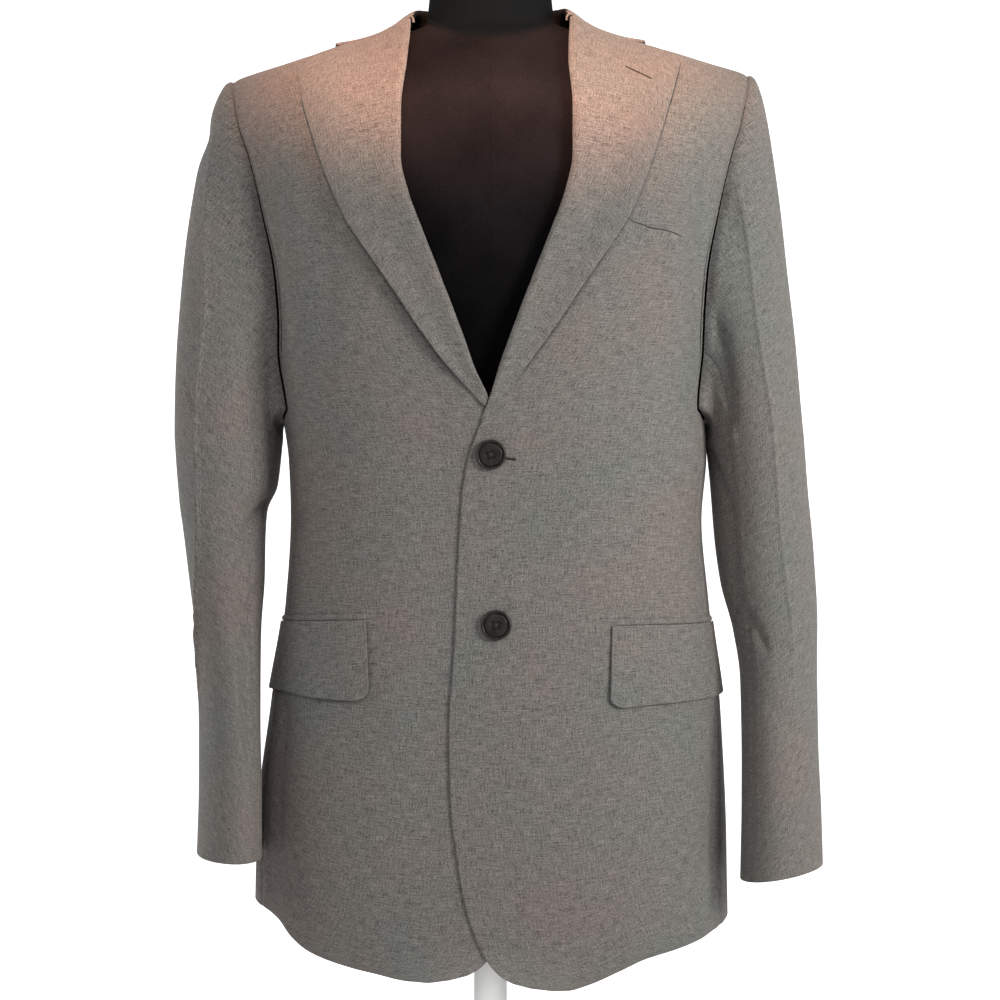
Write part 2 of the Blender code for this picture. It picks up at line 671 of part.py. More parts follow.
def make_sleeve(side):
    """A hollow sleeve of two pieces, top and under."""
    outer, turns, away = sleeve_grid(side)
    wrapped = np.concatenate([outer[:, -1:], outer, outer[:, :1]], axis=1)
    normals = grid_normals(wrapped)[:, 1:-1]
    facing = np.sum(normals[-1] * (outer[-1] - outer[-1].mean(axis=0)))
    normals *= np.sign(facing)
    into_seam = np.sum(normals[0] * away, axis=-1, keepdims=True)
    normals[0] = unit(normals[0] - away * np.clip(into_seam, 0.0, None))
    inner = outer - normals * WALL
    first = int(np.argmin(np.abs(np.degrees(turns) - SLEEVE_SEAMS[0])))
    second = int(np.argmin(np.abs(np.degrees(turns) - SLEEVE_SEAMS[1])))
    under = list(range(first, second + 1))
    top = list(range(second, len(turns))) + list(range(0, first + 1))
    for name, columns in (("top", top), ("under", under)):
        faces = [trim_sides(face[:, columns]) for face in (outer, inner)]
        add_wall(f"sleeve_{name}_{side}", *faces)


def trim_sides(points):
    """Draw a grid's first and last columns in by half a seam gap."""
    points = points.copy()
    for edge, next_in in ((0, 1), (-1, -2)):
        points[:, edge] += unit(points[:, next_in] - points[:, edge]) * (GAP / 2 + 0.00005)
    return points


def flap_grid(side):
    """Angles and levels of a flap, rows from the bottom up and columns from the front back."""
    flap = FLAPS[side]
    sign = 1.0 if side == "left" else -1.0
    across = np.array([0.0, 0.008, 0.03, 0.06, 0.12, 0.2, 0.3, 0.4, 0.5, 0.6, 0.7, 0.8, 0.9, 1.0])
    climb = np.array([0.0, 0.35, 0.7, 1.0])[:, None]
    start = np.abs(angle_at(sign * flap.reach, flap.top))
    angles = start + (flap.end - start) * across
    reach = np.radians(angles - start) * FLAP_BEND_RADIUS
    angles = angles - flap.lean * (1 - climb) * (1 - across)
    corner = FLAP_CORNER * (1 - np.sqrt(np.clip(1 - (1 - reach / FLAP_CORNER) ** 2, 0.0, 1.0)))
    round_off = np.where(reach < FLAP_CORNER, corner, 0.0)
    bottom = flap.bottom + round_off * 0.9 - flap.sag * across
    top = flap.top - flap.fall * across
    levels = bottom + (top - bottom) * climb
    return sign * angles, levels, climb


def make_flap(side):
    """A pocket flap with a round front corner, and the jet over it."""
    angles, levels, climb = flap_grid(side)
    lift = FLAP_LIFT + FLAP_FLARE * (1 - climb) ** 1.5
    outer = cloth_point(angles, levels, lift + FLAP_WALL)
    inner = cloth_point(angles, levels, lift)
    add_wall(f"flap_{side}", outer, inner)
    low = levels[-1] + 0.0004
    rows = np.stack([low, low + JET_HEIGHT])
    angles = np.broadcast_to(angles[-1], rows.shape)
    outer = cloth_point(angles, rows, FLAP_LIFT + JET_WALL)
    inner = cloth_point(angles, rows, FLAP_LIFT)
    add_wall(f"jet_{side}", outer, inner)


def make_welt():
    """The breast pocket's welt on the wearer's left, as far as the lapel leaves it free."""
    across = np.linspace(0.0, 1.0, 6)
    climb = np.array([0.0, 0.5, 1.0])[:, None]
    top = WELT_TOP - WELT_FALL * across
    levels = top - WELT_HEIGHT * (1 - climb)
    near = read(LAPEL_EDGE, "reach", levels) + WELT_GAP
    reach = near + (WELT_END - near) * across
    angles = front_angle("left", reach, levels)
    outer = cloth_point(angles, levels, LAPEL_LIFT + WELT_WALL)
    inner = cloth_point(angles, levels, LAPEL_LIFT)
    add_wall("breast_welt", outer, inner)


def make_buttons():
    """Two buttons with a raised rim, fastened on the overlap."""
    radius, thick = BUTTON_RADIUS, BUTTON_THICK
    profile = (
        (0.0, 0.0), (radius - 0.0015, 0.0), (radius, 0.0012), (radius, thick - 0.0010),
        (radius - 0.0012, thick), (radius - 0.0032, thick), (radius - 0.0042, thick - 0.0010),
        (0.0, thick - 0.0010),
    )
    for name, (x, level) in BUTTONS.items():
        button = add_turned(f"button_{name}", profile, 24, "horn")
        place = (np.array([angle_at(x, level)]), np.array([level]))
        button.location = cloth_point(*place, BUTTON_LIFT)[0]
        button.rotation_euler = Vector(outward(*place)[0]).to_track_quat("Z", "Y").to_euler()


def form_ring(level, turns):
    """One ring of the form, inside the cloth, with flat arm plates."""
    levels = np.full(turns.shape, level)
    inset = FORM_INSET + FORM_RIDGE_INSET * ease(-levels, -0.84, -0.80)
    inset += FORM_WAIST_INSET * ease(-levels, -0.62, -0.50)
    points = skin(turns, levels)
    inset += FORM_NECK_INSET * ease(-np.abs(points[:, 0]), -0.13, -0.085)
    points = points - outward(turns, levels) * inset[:, None]
    points[:, 0] = np.clip(points[:, 0], -FORM_ARM_PLATE, FORM_ARM_PLATE)
    return points


def make_form():
    """The limbless dress form: a closed torso joined to its neck."""
    levels = FORM_ROWS + UPPER_ROWS[2:-1] + (0.853,)
    quarter = np.array([0.0, 8.0, 16.0, 24.0, 32.0, 40.0, 48.0, 56.0, 64.0, 72.0, 80.0])
    front = np.concatenate([-quarter[:0:-1], quarter])
    turns = np.concatenate([front, [90.0], 180.0 - front[::-1], [270.0]])
    rings = [form_ring(level, turns) for level in levels]
    rings[0][:, 2] = HEM_HEIGHT + FORM_BOTTOM
    rings[0][:, :2] *= 0.97
    shape = bmesh.new()
    loops = [[shape.verts.new(point) for point in ring] for ring in rings]
    count = len(turns)
    for low, high in zip(loops, loops[1:]):
        for i in range(count):
            j = (i + 1) % count
            shape.faces.new((low[i], low[j], high[j], high[i]))
    shape.faces.new(loops[0][::-1])
    last = loops[-1]
    half = len(front)
    ridge_front = [last[-1]] + last[:half] + [last[half]]
    ridge_back = [last[-1]] + last[half + 1:-1][::-1] + [last[half]]
    for i in range(len(ridge_front) - 1):
        corners = (ridge_front[i], ridge_front[i + 1], ridge_back[i + 1], ridge_back[i])
        face = list(dict.fromkeys(corners))
        shape.faces.new(face)
    torso = add_object("form", shape, "black_jersey")
    neck_foot = 0.70
    neck = add_turned("neck_tool", (
        (0.0, neck_foot), (NECK_RADIUS + 0.004, neck_foot), (NECK_RADIUS + 0.003, 0.785),
        (NECK_RADIUS, 0.805), (NECK_RADIUS - 0.002, 0.830), (NECK_RADIUS - 0.002, NECK_TOP - 0.006),
        (NECK_RADIUS - 0.008, NECK_TOP), (0.0, NECK_TOP)), 32, "black_jersey")
    neck.location = (0.0, NECK_CENTRE_Y, HEM_HEIGHT)
    neck.hide_render = True
    neck.display_type = "WIRE"
    join = torso.modifiers.new("neck", "BOOLEAN")
    join.operation = "UNION"
    join.object = neck


def make_stand():
    """The enamelled steel pole under the form, its socket and the round base."""
    foot = BASE_THICK + GAP
    low = foot + SOCKET_HEIGHT + GAP
    top = HEM_HEIGHT + FORM_BOTTOM - GAP
    add_turned("pole", (
        (0.0, low), (POLE_RADIUS, low), (POLE_RADIUS, top), (0.0, top)), 24, "white_enamel")
    add_turned("socket", (
        (0.0, foot), (SOCKET_RADIUS, foot), (SOCKET_RADIUS - SOCKET_TAPER, foot + SOCKET_HEIGHT),
        (0.0, foot + SOCKET_HEIGHT)), 24, "white_enamel")
    add_turned("base", (
        (0.0, 0.0), (BASE_RADIUS - 0.002, 0.0), (BASE_RADIUS, 0.002), (BASE_RADIUS, BASE_THICK - 0.004),
        (BASE_RADIUS - 0.004, BASE_THICK), (0.0, BASE_THICK)), 36, "white_enamel")


def main():
    """Clear the scene and build every piece."""
    for thing in list(bpy.data.objects):
        bpy.data.objects.remove(thing)
    for side in ("left", "right"):
        make_front(side)
        make_side(side)
        make_back(side)
        make_lapel(side)
        make_sleeve(side)
        make_flap(side)
    make_welt()
    make_collar()
    make_buttons()
    make_form()
    make_stand()


main()
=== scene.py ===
"""Looks of a single breasted blazer on a limbless dress form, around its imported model.

Metres, +Z up.  The front faces -Y, and +X is the wearer's left.  Every cloth piece is a thin
wall over the body surface of the solids, with its creases, round edges and sunk seams.
"""

from collections import namedtuple

import bmesh
import bpy
import numpy as np
from bpy.props import FloatProperty, FloatVectorProperty, PointerProperty
from mathutils import Matrix, Vector
from mathutils.bvhtree import BVHTree
from mathutils.kdtree import KDTree


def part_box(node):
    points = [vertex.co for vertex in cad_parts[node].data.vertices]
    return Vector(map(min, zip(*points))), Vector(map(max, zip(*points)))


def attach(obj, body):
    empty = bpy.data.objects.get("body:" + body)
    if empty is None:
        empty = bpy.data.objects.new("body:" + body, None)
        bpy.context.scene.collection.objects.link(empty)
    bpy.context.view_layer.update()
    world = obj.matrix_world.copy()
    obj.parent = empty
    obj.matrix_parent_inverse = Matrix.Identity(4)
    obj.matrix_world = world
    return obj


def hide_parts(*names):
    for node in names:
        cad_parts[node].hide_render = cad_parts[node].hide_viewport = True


bl_info = {
    "name": "Single Breasted Blazer",
    "version": (1, 0, 0),
    "blender": (4, 5, 0),
    "location": "View3D > Sidebar > Blazer",
    "description": "Dresses a limbless form in a blazer of grey wool, in a plain studio",
    "category": "Add Mesh",
}

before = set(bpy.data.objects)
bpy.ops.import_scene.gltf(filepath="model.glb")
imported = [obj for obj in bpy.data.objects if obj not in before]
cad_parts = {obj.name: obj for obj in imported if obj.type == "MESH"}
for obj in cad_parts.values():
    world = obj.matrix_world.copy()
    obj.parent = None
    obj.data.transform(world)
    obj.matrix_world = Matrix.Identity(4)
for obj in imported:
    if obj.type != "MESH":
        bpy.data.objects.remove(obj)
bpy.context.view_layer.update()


def rows(fields, *values):
    """A table as a tuple of rows with named fields."""
    row = namedtuple("row", fields)
    return tuple(row(*value) for value in values)


# The way of each side along X, and metres along the cloth for one degree round the body or a
# sleeve.
SIGN = {"left": 1.0, "right": -1.0}
DEGREE = {"body": 0.0030, "left": 0.00092, "right": 0.00092}

# The body under the cloth, as in the solids. Levels run from the hem, 0, up to the shoulder's
# ridge, TOP, and the shoulders curve over from BEND.
HEM_HEIGHT = 0.300
WALL = 0.0018
BEND = 0.560
TOP = 0.860
ROOF = TOP - 0.0004
ROOF_RADIUS = 0.110
ROUNDNESS = 2.4
HEM_REACH = 0.300

# Seams of the panels in degrees, the armhole, and how the right front lies under the left.
FRONT_SEAM = 72.0
BACK_SEAM = 118.0
SEAM_TURN = 0.01
ARMPIT = 0.462
ARMPIT_DIP = 0.008
ARMHOLE_TOP = 0.545
ARMHOLE_DIP = 0.0010
ARMHOLE_WIDTH = 0.0055
ARMPIT_HOLLOW = 0.0020
ARMPIT_HOLLOW_AT = (0.465, 0.500, 0.54, 0.66)
TUCK = 0.0024
UNDER_HEM = 0.006

# Lapels: foot, head as share across and level, lift over the front, roll, bow and groove.
LAPEL_SHIFT = -0.0025
LAPEL_FOOT = {"left": 0.451, "right": 0.4628}
LAPEL_HEAD = ((0.0, 0.812), (0.62, 0.811), (1.0, 0.777))
LAPEL_LENGTH = 0.33
LAPEL_LIFT = 0.0005
LAPEL_OVER = 0.001
LAPEL_CLEAR = 0.001
LAPEL_ROLL = 0.0022
LAPEL_HEAD_ROLL = 0.0030
LAPEL_SINK = 0.0004
LAPEL_WRAP = 0.0032
LAPEL_BOW = 0.0042
LAPEL_BOW_FROM = {"left": (0.50, 0.60), "right": (0.465, 0.510)}
LAPEL_BOW_TO = (0.785, 0.825)
LAPEL_NEAR = 0.0076
LAPEL_GROOVE = 0.0014
LAPEL_GROOVE_WIDTH = 0.0022
LAPEL_GROOVE_AT = (0.475, 0.500, 0.772, 0.790)

# Sleeves: how they leave the armhole, their two seams in degrees, and the cuff.
SLEEVE_SWELL = {"right": 0.0000, "left": -0.0160}
SLEEVE_LEAVE = {"right": 0.0110, "left": 0.0080}
SLEEVE_SPRING = 0.030
SLEEVE_PULL = 0.55
SLEEVE_START = 0.0001
SLEEVE_GAP = 0.00003
SLEEVE_RADIUS = 0.055
SLEEVE_SEAMS = (130.0, 262.0)
CUFF_LINE = 0.0110
CUFF_GROOVE = {"right": 0.0006, "left": 0.0001}
CUFF_GROOVE_WIDTH = 0.0011
CUFF_TILT = {"right": 0.0, "left": 0.0060}

# Pockets and buttons.
FLAP_HEIGHT = 0.06
FLAP_WALL = 0.0016
FLAP_LIFT = 0.0006
FLAP_FLARE = 0.0014
FLAP_CORNER = 0.011
FLAP_BEND_RADIUS = 0.145
JET_HEIGHT = 0.0052
JET_GAP = 0.0004
JET_WALL = 0.0010
JET_BULGE = 0.0006
JET_SINK = 0.0014
WELT_LENGTH = 0.060
WELT_HEIGHT = 0.023
WELT_END = 0.156
WELT_WALL = 0.0008
WELT_LIFT = 0.0024
WELT_SINK = 0.0006
# A thin dark thread over the breast welt's top, painted shadow of the pocket's opening: its lift
# and size.
MOUTH_LIFT = 0.0002
MOUTH_SHADOW_SIZE = (0.00035, 0.00025)
BUTTON_LIFT = 0.0006

# The form inside the cloth, its neck, and the seams of its cover by half width and half height.
FORM_INSET = 0.0040
FORM_CHEST_INSET = 0.0010
FORM_WAIST_INSET = 0.006
FORM_NECK_INSET = 0.0020
FORM_BOTTOM = 0.070
FORM_ARM_PLATE = 0.166
FORM_VOXEL = 0.0042
NECK_RADIUS = 0.0525
NECK_TOP = 0.868
NECK_CENTRE_Y = 0.008
NECK_CORD = (0.0011, 0.00045)
FORM_CORD = (0.0006, 0.0003)
# The neck's outline: how much wider than its radius, and height over the hem.
NECK_OUTLINE = (
    (0.004, 0.70), (0.0035, 0.775), (0.001, 0.795), (-0.001, 0.815), (-0.002, 0.835),
    (-0.002, NECK_TOP - 0.008), (-0.004, NECK_TOP - 0.003), (-0.009, NECK_TOP),
)
# The form's neck seam: height over the floor, its slope to the back and its rise to the sides.
NeckSeam = namedtuple("NeckSeam", "height slope bend")
NECK_SEAM = NeckSeam(1.0823, 0.24, 3.6)

# Looks: spacing of the shader nodes, the shares of a colour cloud and of the weave in the wool's
# threads, the width of a pair of threads, and how far the floor lies under the base.
NODE_GRID = (190, 170)
CLOUD_SHARE = 0.25
WEAVE_SHARE = 0.25
THREAD_PITCH = 0.0012
FLOOR_GAP = 0.0005

# Points of each grid between its edges: across, then up.
GRID = {
    "covered": (16, 236),
    "front": (60, 236),
    "side": (36, 120),
    "back": (66, 224),
    "lapel": (34, 110),
    "collar": (170, 46),
    "sleeve_top": (140, 180),
    "sleeve_under": (46, 150),
    "flap": (44, 26),
    "jet": (44, 4),
    "breast_welt": (30, 12),
}

# Cloth edges and seams: distances of the points beside an edge, its roundness, seam sections.
EDGE_STOPS = np.array([0.0, 0.00012, 0.0004, 0.0008, 0.0014, 0.0024])
EDGE_RADIUS = 0.0011
EDGE_SHARE = 0.06
SEAM_DIP = 0.0007
SEAM_WIDTH = 0.0022
SEAM_RIDGE = 0.00025
SEAM_ALLOWANCE = 0.008
# Where along its length, from 0 to 1, a crease rises to its depth and fades again.
CREASE_ENDS = (-0.06, 0.25, 0.75, 1.06)

# Outline of the body at each level.
BODY = rows(
    "level half_width front back shift",
    (-0.030, 0.1965, 0.122, 0.129, 0.0010),
    (0.000, 0.1960, 0.122, 0.129, 0.0010),
    (0.100, 0.1945, 0.122, 0.128, 0.0015),
    (0.200, 0.1885, 0.121, 0.126, 0.0045),
    (0.300, 0.1775, 0.118, 0.115, 0.0055),
    (0.370, 0.1720, 0.116, 0.107, 0.0050),
    (0.420, 0.1750, 0.118, 0.107, 0.0060),
    (0.470, 0.1775, 0.123, 0.114, 0.0015),
    (0.520, 0.1855, 0.127, 0.122, 0.0),
    (0.560, 0.1905, 0.128, 0.127, 0.0),
    (0.624, 0.2005, 0.126, 0.131, 0.0),
    (0.682, 0.2140, 0.122, 0.130, 0.0),
    (0.721, 0.2230, 0.118, 0.127, 0.0),
    (0.780, 0.2310, 0.113, 0.121, 0.0),
    (0.860, 0.2400, 0.108, 0.116, 0.0),
)

SHOULDER = rows(
    "reach height",
    (0.000, 0.8000), (0.060, 0.7905), (0.075, 0.7838), (0.097, 0.7756), (0.127, 0.7688),
    (0.177, 0.7545), (0.240, 0.7350),
)
SHOULDER_TILT = 0.012

# Height of the hem over its lowest point, by angle, the wearer's right side negative.
HEM = rows(
    "angle lift",
    (-180.0, 0.046), (-120.0, 0.050), (-90.0, 0.057), (-71.0, 0.054), (-60.0, 0.0465),
    (-52.0, 0.0345), (-45.0, 0.0260), (-30.0, 0.0155), (-22.0, 0.011), (-15.0, 0.004),
    (-9.0, 0.000), (14.0, 0.000), (19.0, 0.004), (27.0, 0.0135), (35.0, 0.022), (46.0, 0.0272),
    (61.0, 0.0335), (90.0, 0.044), (120.0, 0.046), (180.0, 0.046),
)

# Distance from the centre line to the front's edge: hem corner, overlap, then the roll line.
FRONT_EDGE = rows(
    "level reach",
    (0.000, 0.0500), (0.004, 0.0237), (0.012, 0.0080), (0.025, -0.0030), (0.045, -0.0125),
    (0.070, -0.0200), (0.100, -0.0253), (0.150, -0.0312), (0.205, -0.0325), (0.270, -0.0284),
    (0.357, -0.0245), (0.390, -0.0222), (0.420, -0.0174), (0.443, -0.0095), (0.463, -0.0010),
    (0.490, 0.0105), (0.525, 0.0235), (0.560, 0.0370), (0.592, 0.0520), (0.622, 0.0645),
    (0.647, 0.0700), (0.686, 0.0700), (0.733, 0.0668), (0.800, 0.0665), (0.836, 0.0680),
    (0.860, 0.0735),
)
LAPEL_EDGE = rows(
    "level reach",
    (0.4500, -0.0040), (0.4600, 0.0036), (0.4640, 0.0068), (0.4840, 0.0232), (0.4990, 0.0350),
    (0.5260, 0.0545), (0.5600, 0.0770), (0.5825, 0.0940), (0.6090, 0.1120), (0.6395, 0.1250),
    (0.6910, 0.1405), (0.7337, 0.1495), (0.7770, 0.1540), (0.8600, 0.1560),
)
ARMHOLE = rows(
    "level reach",
    (0.520, 0.1745), (0.572, 0.1780), (0.624, 0.1870), (0.682, 0.1985), (0.721, 0.2070),
    (0.800, 0.2150), (0.860, 0.2172),
)
NECKLINE = rows(
    "level reach",
    (0.000, 0.7730), (0.030, 0.7778), (0.050, 0.7933), (0.060, 0.8087), (0.068, 0.8280),
    (0.0745, ROOF), (0.240, ROOF),
)

# Mouth of the breast pocket, from the lapel's edge outwards.
MOUTH = rows(
    "reach level",
    (0.1094, 0.6060), (0.1160, 0.6035), (0.1239, 0.6022), (0.1298, 0.6003), (0.1405, 0.5998),
    (0.1460, 0.5990), (0.1560, 0.5962),
)

# The collar from its end at the gorge to the centre back: roll, stand seam and leaf edge.
COLLAR = rows(
    "place roll_x roll_y roll_z seam_x seam_y edge_x edge_y",
    (0.0, 0.0655, -0.0380, 0.7893, 0.0632, -0.0370, 0.1210, -0.0330),
    (0.6, 0.0650, -0.0270, 0.7935, 0.0645, -0.0260, 0.1297, 0.0010),
    (1.5, 0.0636, -0.0020, 0.8004, 0.0690, -0.0010, 0.1270, 0.0200),
    (2.5, 0.0610, 0.0260, 0.8062, 0.0655, 0.0260, 0.1120, 0.0480),
    (3.5, 0.0460, 0.0560, 0.8110, 0.0470, 0.0575, 0.0830, 0.0720),
    (4.5, 0.0240, 0.0700, 0.8140, 0.0240, 0.0700, 0.0430, 0.0920),
    (5.5, 0.0000, 0.0740, 0.8145, 0.0000, 0.0735, 0.0000, 0.0980),
)
STATION_LENGTH = 0.020
# Rows of the collar's leaf from the roll to its edge, and how steeply it falls from the roll.
LEAF_ROWS = (0.07, 0.18, 0.36, 0.66, 1.0)
LEAF_FALL = 3.4
LEAF_SLACK = 0.0014
# The stand's foot over the body, and how far its top lies inside and below the roll.
COLLAR_FOOT_GAP = 0.0004
STAND_IN = 0.0022
STAND_DROP = 0.0028
# The collar's tips stand out over the notches.
TIP_LENGTH = 0.35
TIP_REACH = 0.0050
TIP_LIFT = 0.0022
# Collar faces turned this far to the neck get near-black cloth, painted shade of the gap by the
# neck.
COLLAR_SHADE_TURN = 0.45
SEAM_CORD = 0.0009
SEAM_CORD_DEPTH = 0.0015
CORD_SINK = 0.0010
GORGE_DEPTH = 0.0012

# Sections of the hanging sleeves, reach is from the centre line and turn is toe-in.
SECTION = "height reach centre_y half_width half_depth turn"
SLEEVES = {
    "right": rows(
        SECTION,
        (0.099, 0.2130, -0.063, 0.0250, 0.0520, 17.0),
        (0.140, 0.2130, -0.056, 0.0245, 0.0530, 16.0),
        (0.190, 0.2140, -0.046, 0.0245, 0.0540, 14.0),
        (0.240, 0.2157, -0.035, 0.0255, 0.0550, 11.0),
        (0.280, 0.2180, -0.024, 0.0275, 0.0560, 8.0),
        (0.320, 0.2200, -0.014, 0.0315, 0.0580, 6.0),
        (0.360, 0.2227, -0.007, 0.0343, 0.0610, 4.0),
        (0.380, 0.2235, -0.005, 0.0365, 0.0630, 3.0),
        (0.400, 0.2205, -0.003, 0.0415, 0.0650, 2.0),
        (0.440, 0.2200, 0.000, 0.0450, 0.0690, 0.0),
    ),
    "left": rows(
        SECTION,
        (0.084, 0.2385, -0.0515, 0.0335, 0.0500, 11.0),
        (0.140, 0.2393, -0.044, 0.0325, 0.0510, 11.0),
        (0.190, 0.2390, -0.037, 0.0315, 0.0525, 10.0),
        (0.240, 0.2390, -0.029, 0.0320, 0.0540, 8.0),
        (0.280, 0.2375, -0.019, 0.0350, 0.0560, 6.0),
        (0.320, 0.2325, -0.011, 0.0395, 0.0580, 4.0),
        (0.360, 0.2290, -0.005, 0.0410, 0.0610, 3.0),
        (0.400, 0.2256, -0.001, 0.0405, 0.0650, 1.0),
        (0.440, 0.2220, 0.000, 0.0410, 0.0690, 0.0),
    ),
}

# Pocket flaps: front edge reach, top and bottom over the hem, how much lower both are at the
# back, degrees that the front edge leans to the centre, and the angle of the back end.
Flap = namedtuple("Flap", "reach top bottom fall sag lean end")
FLAPS = {
    "right": Flap(0.0985, 0.2920, 0.2244, 0.0078, 0.0095, 2.9, 86.0),
    "left": Flap(0.0965, 0.2874, 0.2185, 0.0024, 0.0025, 1.6, 86.0),
}

# Soft folds of the skirt: angle, half width in degrees, depth, and level where each fades.
FOLDS = rows(
    "angle width depth level",
    (-62.0, 7.0, -0.0022, 0.17),
    (-82.0, 9.0, 0.0020, 0.20),
    (66.0, 7.0, -0.0020, 0.20),
    (86.0, 9.0, 0.0018, 0.22),
    (118.0, 10.0, -0.0025, 0.22),
    (150.0, 12.0, 0.0025, 0.24),
    (-114.0, 10.0, -0.0022, 0.24),
    (-146.0, 12.0, 0.0028, 0.22),
)

# Creases listed one by one: from and to as angle and height over the hem, sideways bow, half
# width, depth (troughs below 0) and how pointed the section is (1 a sharp fold, 2 soft).
CREASE = "angle height end_angle end_height bow width depth power"
CREASES = {
    "body": rows(
        CREASE,
        # Front darts, the hollows beside the armholes and the soft drape of the chest.
        (43.6, 0.450, 33.2, 0.298, 0.0, 0.0022, -0.0006, 2.0),
        (-47.3, 0.450, -36.2, 0.298, 0.0, 0.0022, -0.0006, 2.0),
        (57.0, 0.720, 63.0, 0.480, 0.004, 0.015, -0.0034, 2.0),
        (-57.0, 0.735, -66.0, 0.480, -0.004, 0.016, -0.0040, 2.0),
        (-40.0, 0.680, -58.0, 0.550, 0.002, 0.009, 0.0024, 2.0),
        (-33.0, 0.640, -42.0, 0.500, 0.003, 0.012, -0.0014, 2.0),
        (42.0, 0.670, 50.0, 0.530, 0.002, 0.011, 0.0018, 2.0),
        # Pull of the upper button and the waist.
        (4.0, 0.424, 30.0, 0.446, 0.003, 0.009, -0.0010, 2.0),
        (-5.0, 0.420, -32.0, 0.440, -0.003, 0.010, -0.0010, 2.0),
        (52.0, 0.400, 74.0, 0.372, 0.003, 0.008, -0.0018, 2.0),
        (-52.0, 0.392, -76.0, 0.364, -0.003, 0.009, -0.0019, 2.0),
        (58.0, 0.360, 80.0, 0.346, 0.002, 0.007, -0.0014, 2.0),
        # Hollows of the skirt behind the pockets.
        (-63.0, 0.220, -60.0, 0.050, 0.0, 0.0090, -0.0030, 2.0),
        (70.0, 0.210, 66.0, 0.040, 0.0, 0.0100, -0.0030, 2.0),
        # Back: waist, shoulder blades and skirt.
        (176.0, 0.392, 128.0, 0.372, 0.004, 0.009, -0.0024, 2.0),
        (-174.0, 0.376, -126.0, 0.396, 0.004, 0.010, -0.0025, 2.0),
        (168.0, 0.350, 132.0, 0.338, -0.003, 0.008, -0.0018, 2.0),
        (-166.0, 0.344, -134.0, 0.352, 0.003, 0.007, -0.0016, 2.0),
        (150.0, 0.640, 137.0, 0.470, 0.006, 0.014, -0.0030, 2.0),
        (-150.0, 0.650, -138.0, 0.480, -0.006, 0.015, -0.0030, 2.0),
    ),
    "right": rows(
        CREASE,
        # The wearer's right sleeve: dent of the head, drags, then elbow and forearm.
        (24.0, 0.692, -70.0, 0.680, 0.0, 0.0150, -0.0042, 2.0),
        (24.0, 0.717, 13.0, 0.706, 0.001, 0.0021, -0.0014, 1.6),
        (30.0, 0.706, 18.0, 0.697, 0.001, 0.0024, -0.0012, 1.6),
        (48.0, 0.483, 72.0, 0.452, 0.001, 0.0024, -0.0024, 1.5),
        (168.0, 0.390, 116.0, 0.350, 0.004, 0.0055, -0.0046, 1.5),
        (150.0, 0.322, 112.0, 0.282, 0.003, 0.0042, -0.0036, 1.5),
        (108.0, 0.320, 112.0, 0.170, 0.002, 0.0080, -0.0036, 1.8),
        (140.0, 0.240, 96.0, 0.222, 0.002, 0.0070, -0.0016, 2.0),
        (118.0, 0.580, 124.0, 0.410, 0.003, 0.0110, -0.0030, 1.8),
        (-20.0, 0.330, -96.0, 0.300, 0.003, 0.0080, -0.0022, 2.0),
        (-28.0, 0.380, -88.0, 0.362, -0.003, 0.0070, -0.0018, 2.0),
        (-40.0, 0.560, -84.0, 0.470, 0.004, 0.0100, -0.0022, 2.0),
    ),
    "left": rows(
        CREASE,
        # The wearer's left sleeve: drag from the armpit, elbow and forearm.
        (112.0, 0.560, 134.0, 0.430, 0.002, 0.0070, -0.0042, 1.7),
        (138.0, 0.480, 122.0, 0.430, 0.001, 0.0040, 0.0022, 1.4),
        (172.0, 0.436, 128.0, 0.366, 0.003, 0.0048, -0.0052, 1.5),
        (134.0, 0.378, 142.0, 0.300, 0.003, 0.0050, -0.0044, 1.5),
        (150.0, 0.315, 100.0, 0.262, 0.002, 0.0060, -0.0030, 1.8),
        (110.0, 0.222, 60.0, 0.205, 0.002, 0.0080, -0.0014, 2.0),
        (88.0, 0.640, 58.0, 0.560, 0.004, 0.0120, -0.0016, 2.0),
        (60.0, 0.716, 30.0, 0.704, 0.002, 0.0030, -0.0010, 1.7),
        (-24.0, 0.360, -92.0, 0.322, 0.003, 0.0080, -0.0022, 2.0),
        (-30.0, 0.410, -84.0, 0.396, -0.003, 0.0070, -0.0018, 2.0),
        (-36.0, 0.580, -80.0, 0.480, 0.004, 0.0100, -0.0022, 2.0),
    ),
}

# Folds pressed down the sleeves: the turn of the ridge by height over the hem.
PRESSES = {
    "right": rows(
        "height turn",
        (0.190, 0.0), (0.233, 8.0), (0.314, 45.0), (0.394, 65.0), (0.514, 66.0), (0.587, 52.0),
        (0.631, 41.0), (0.700, 20.0),
    ),
    "left": rows(
        "height turn",
        (0.200, 62.0), (0.300, 72.0), (0.400, 78.0), (0.500, 80.0), (0.620, 62.0), (0.660, 55.0),
    ),
}
PRESS_WIDTH = 0.0075
PRESS_HEIGHT = {"right": 0.0042, "left": 0.0022}
PRESS_EDGE = 0.0016
PRESS_RIDGE = 0.50
# Heights over the hem between which the fold is at its full height.
PRESS_FULL = (0.30, 0.62)

# Small uneven waves of the cloth: direction and closeness in radians per metre.
RIPPLES = rows(
    "x y z phase share",
    (71.0, 40.0, 9.0, 0.4, 1.0),
    (-52.0, 66.0, 17.0, 2.1, 0.9),
    (38.0, -30.0, 24.0, 4.0, 1.0),
    (104.0, 62.0, -31.0, 1.3, 0.55),
    (-91.0, 33.0, 47.0, 5.2, 0.5),
    (22.0, 18.0, 61.0, 3.3, 0.45),
    (143.0, -80.0, 38.0, 0.9, 0.3),
    (-60.0, 110.0, -72.0, 2.7, 0.3),
)

BUTTONS = rows(
    "name x z turn",
    ("button_upper", 0.0008, 0.7240, 18.0),
    ("button_lower", 0.0050, 0.5890, 2.0),
)
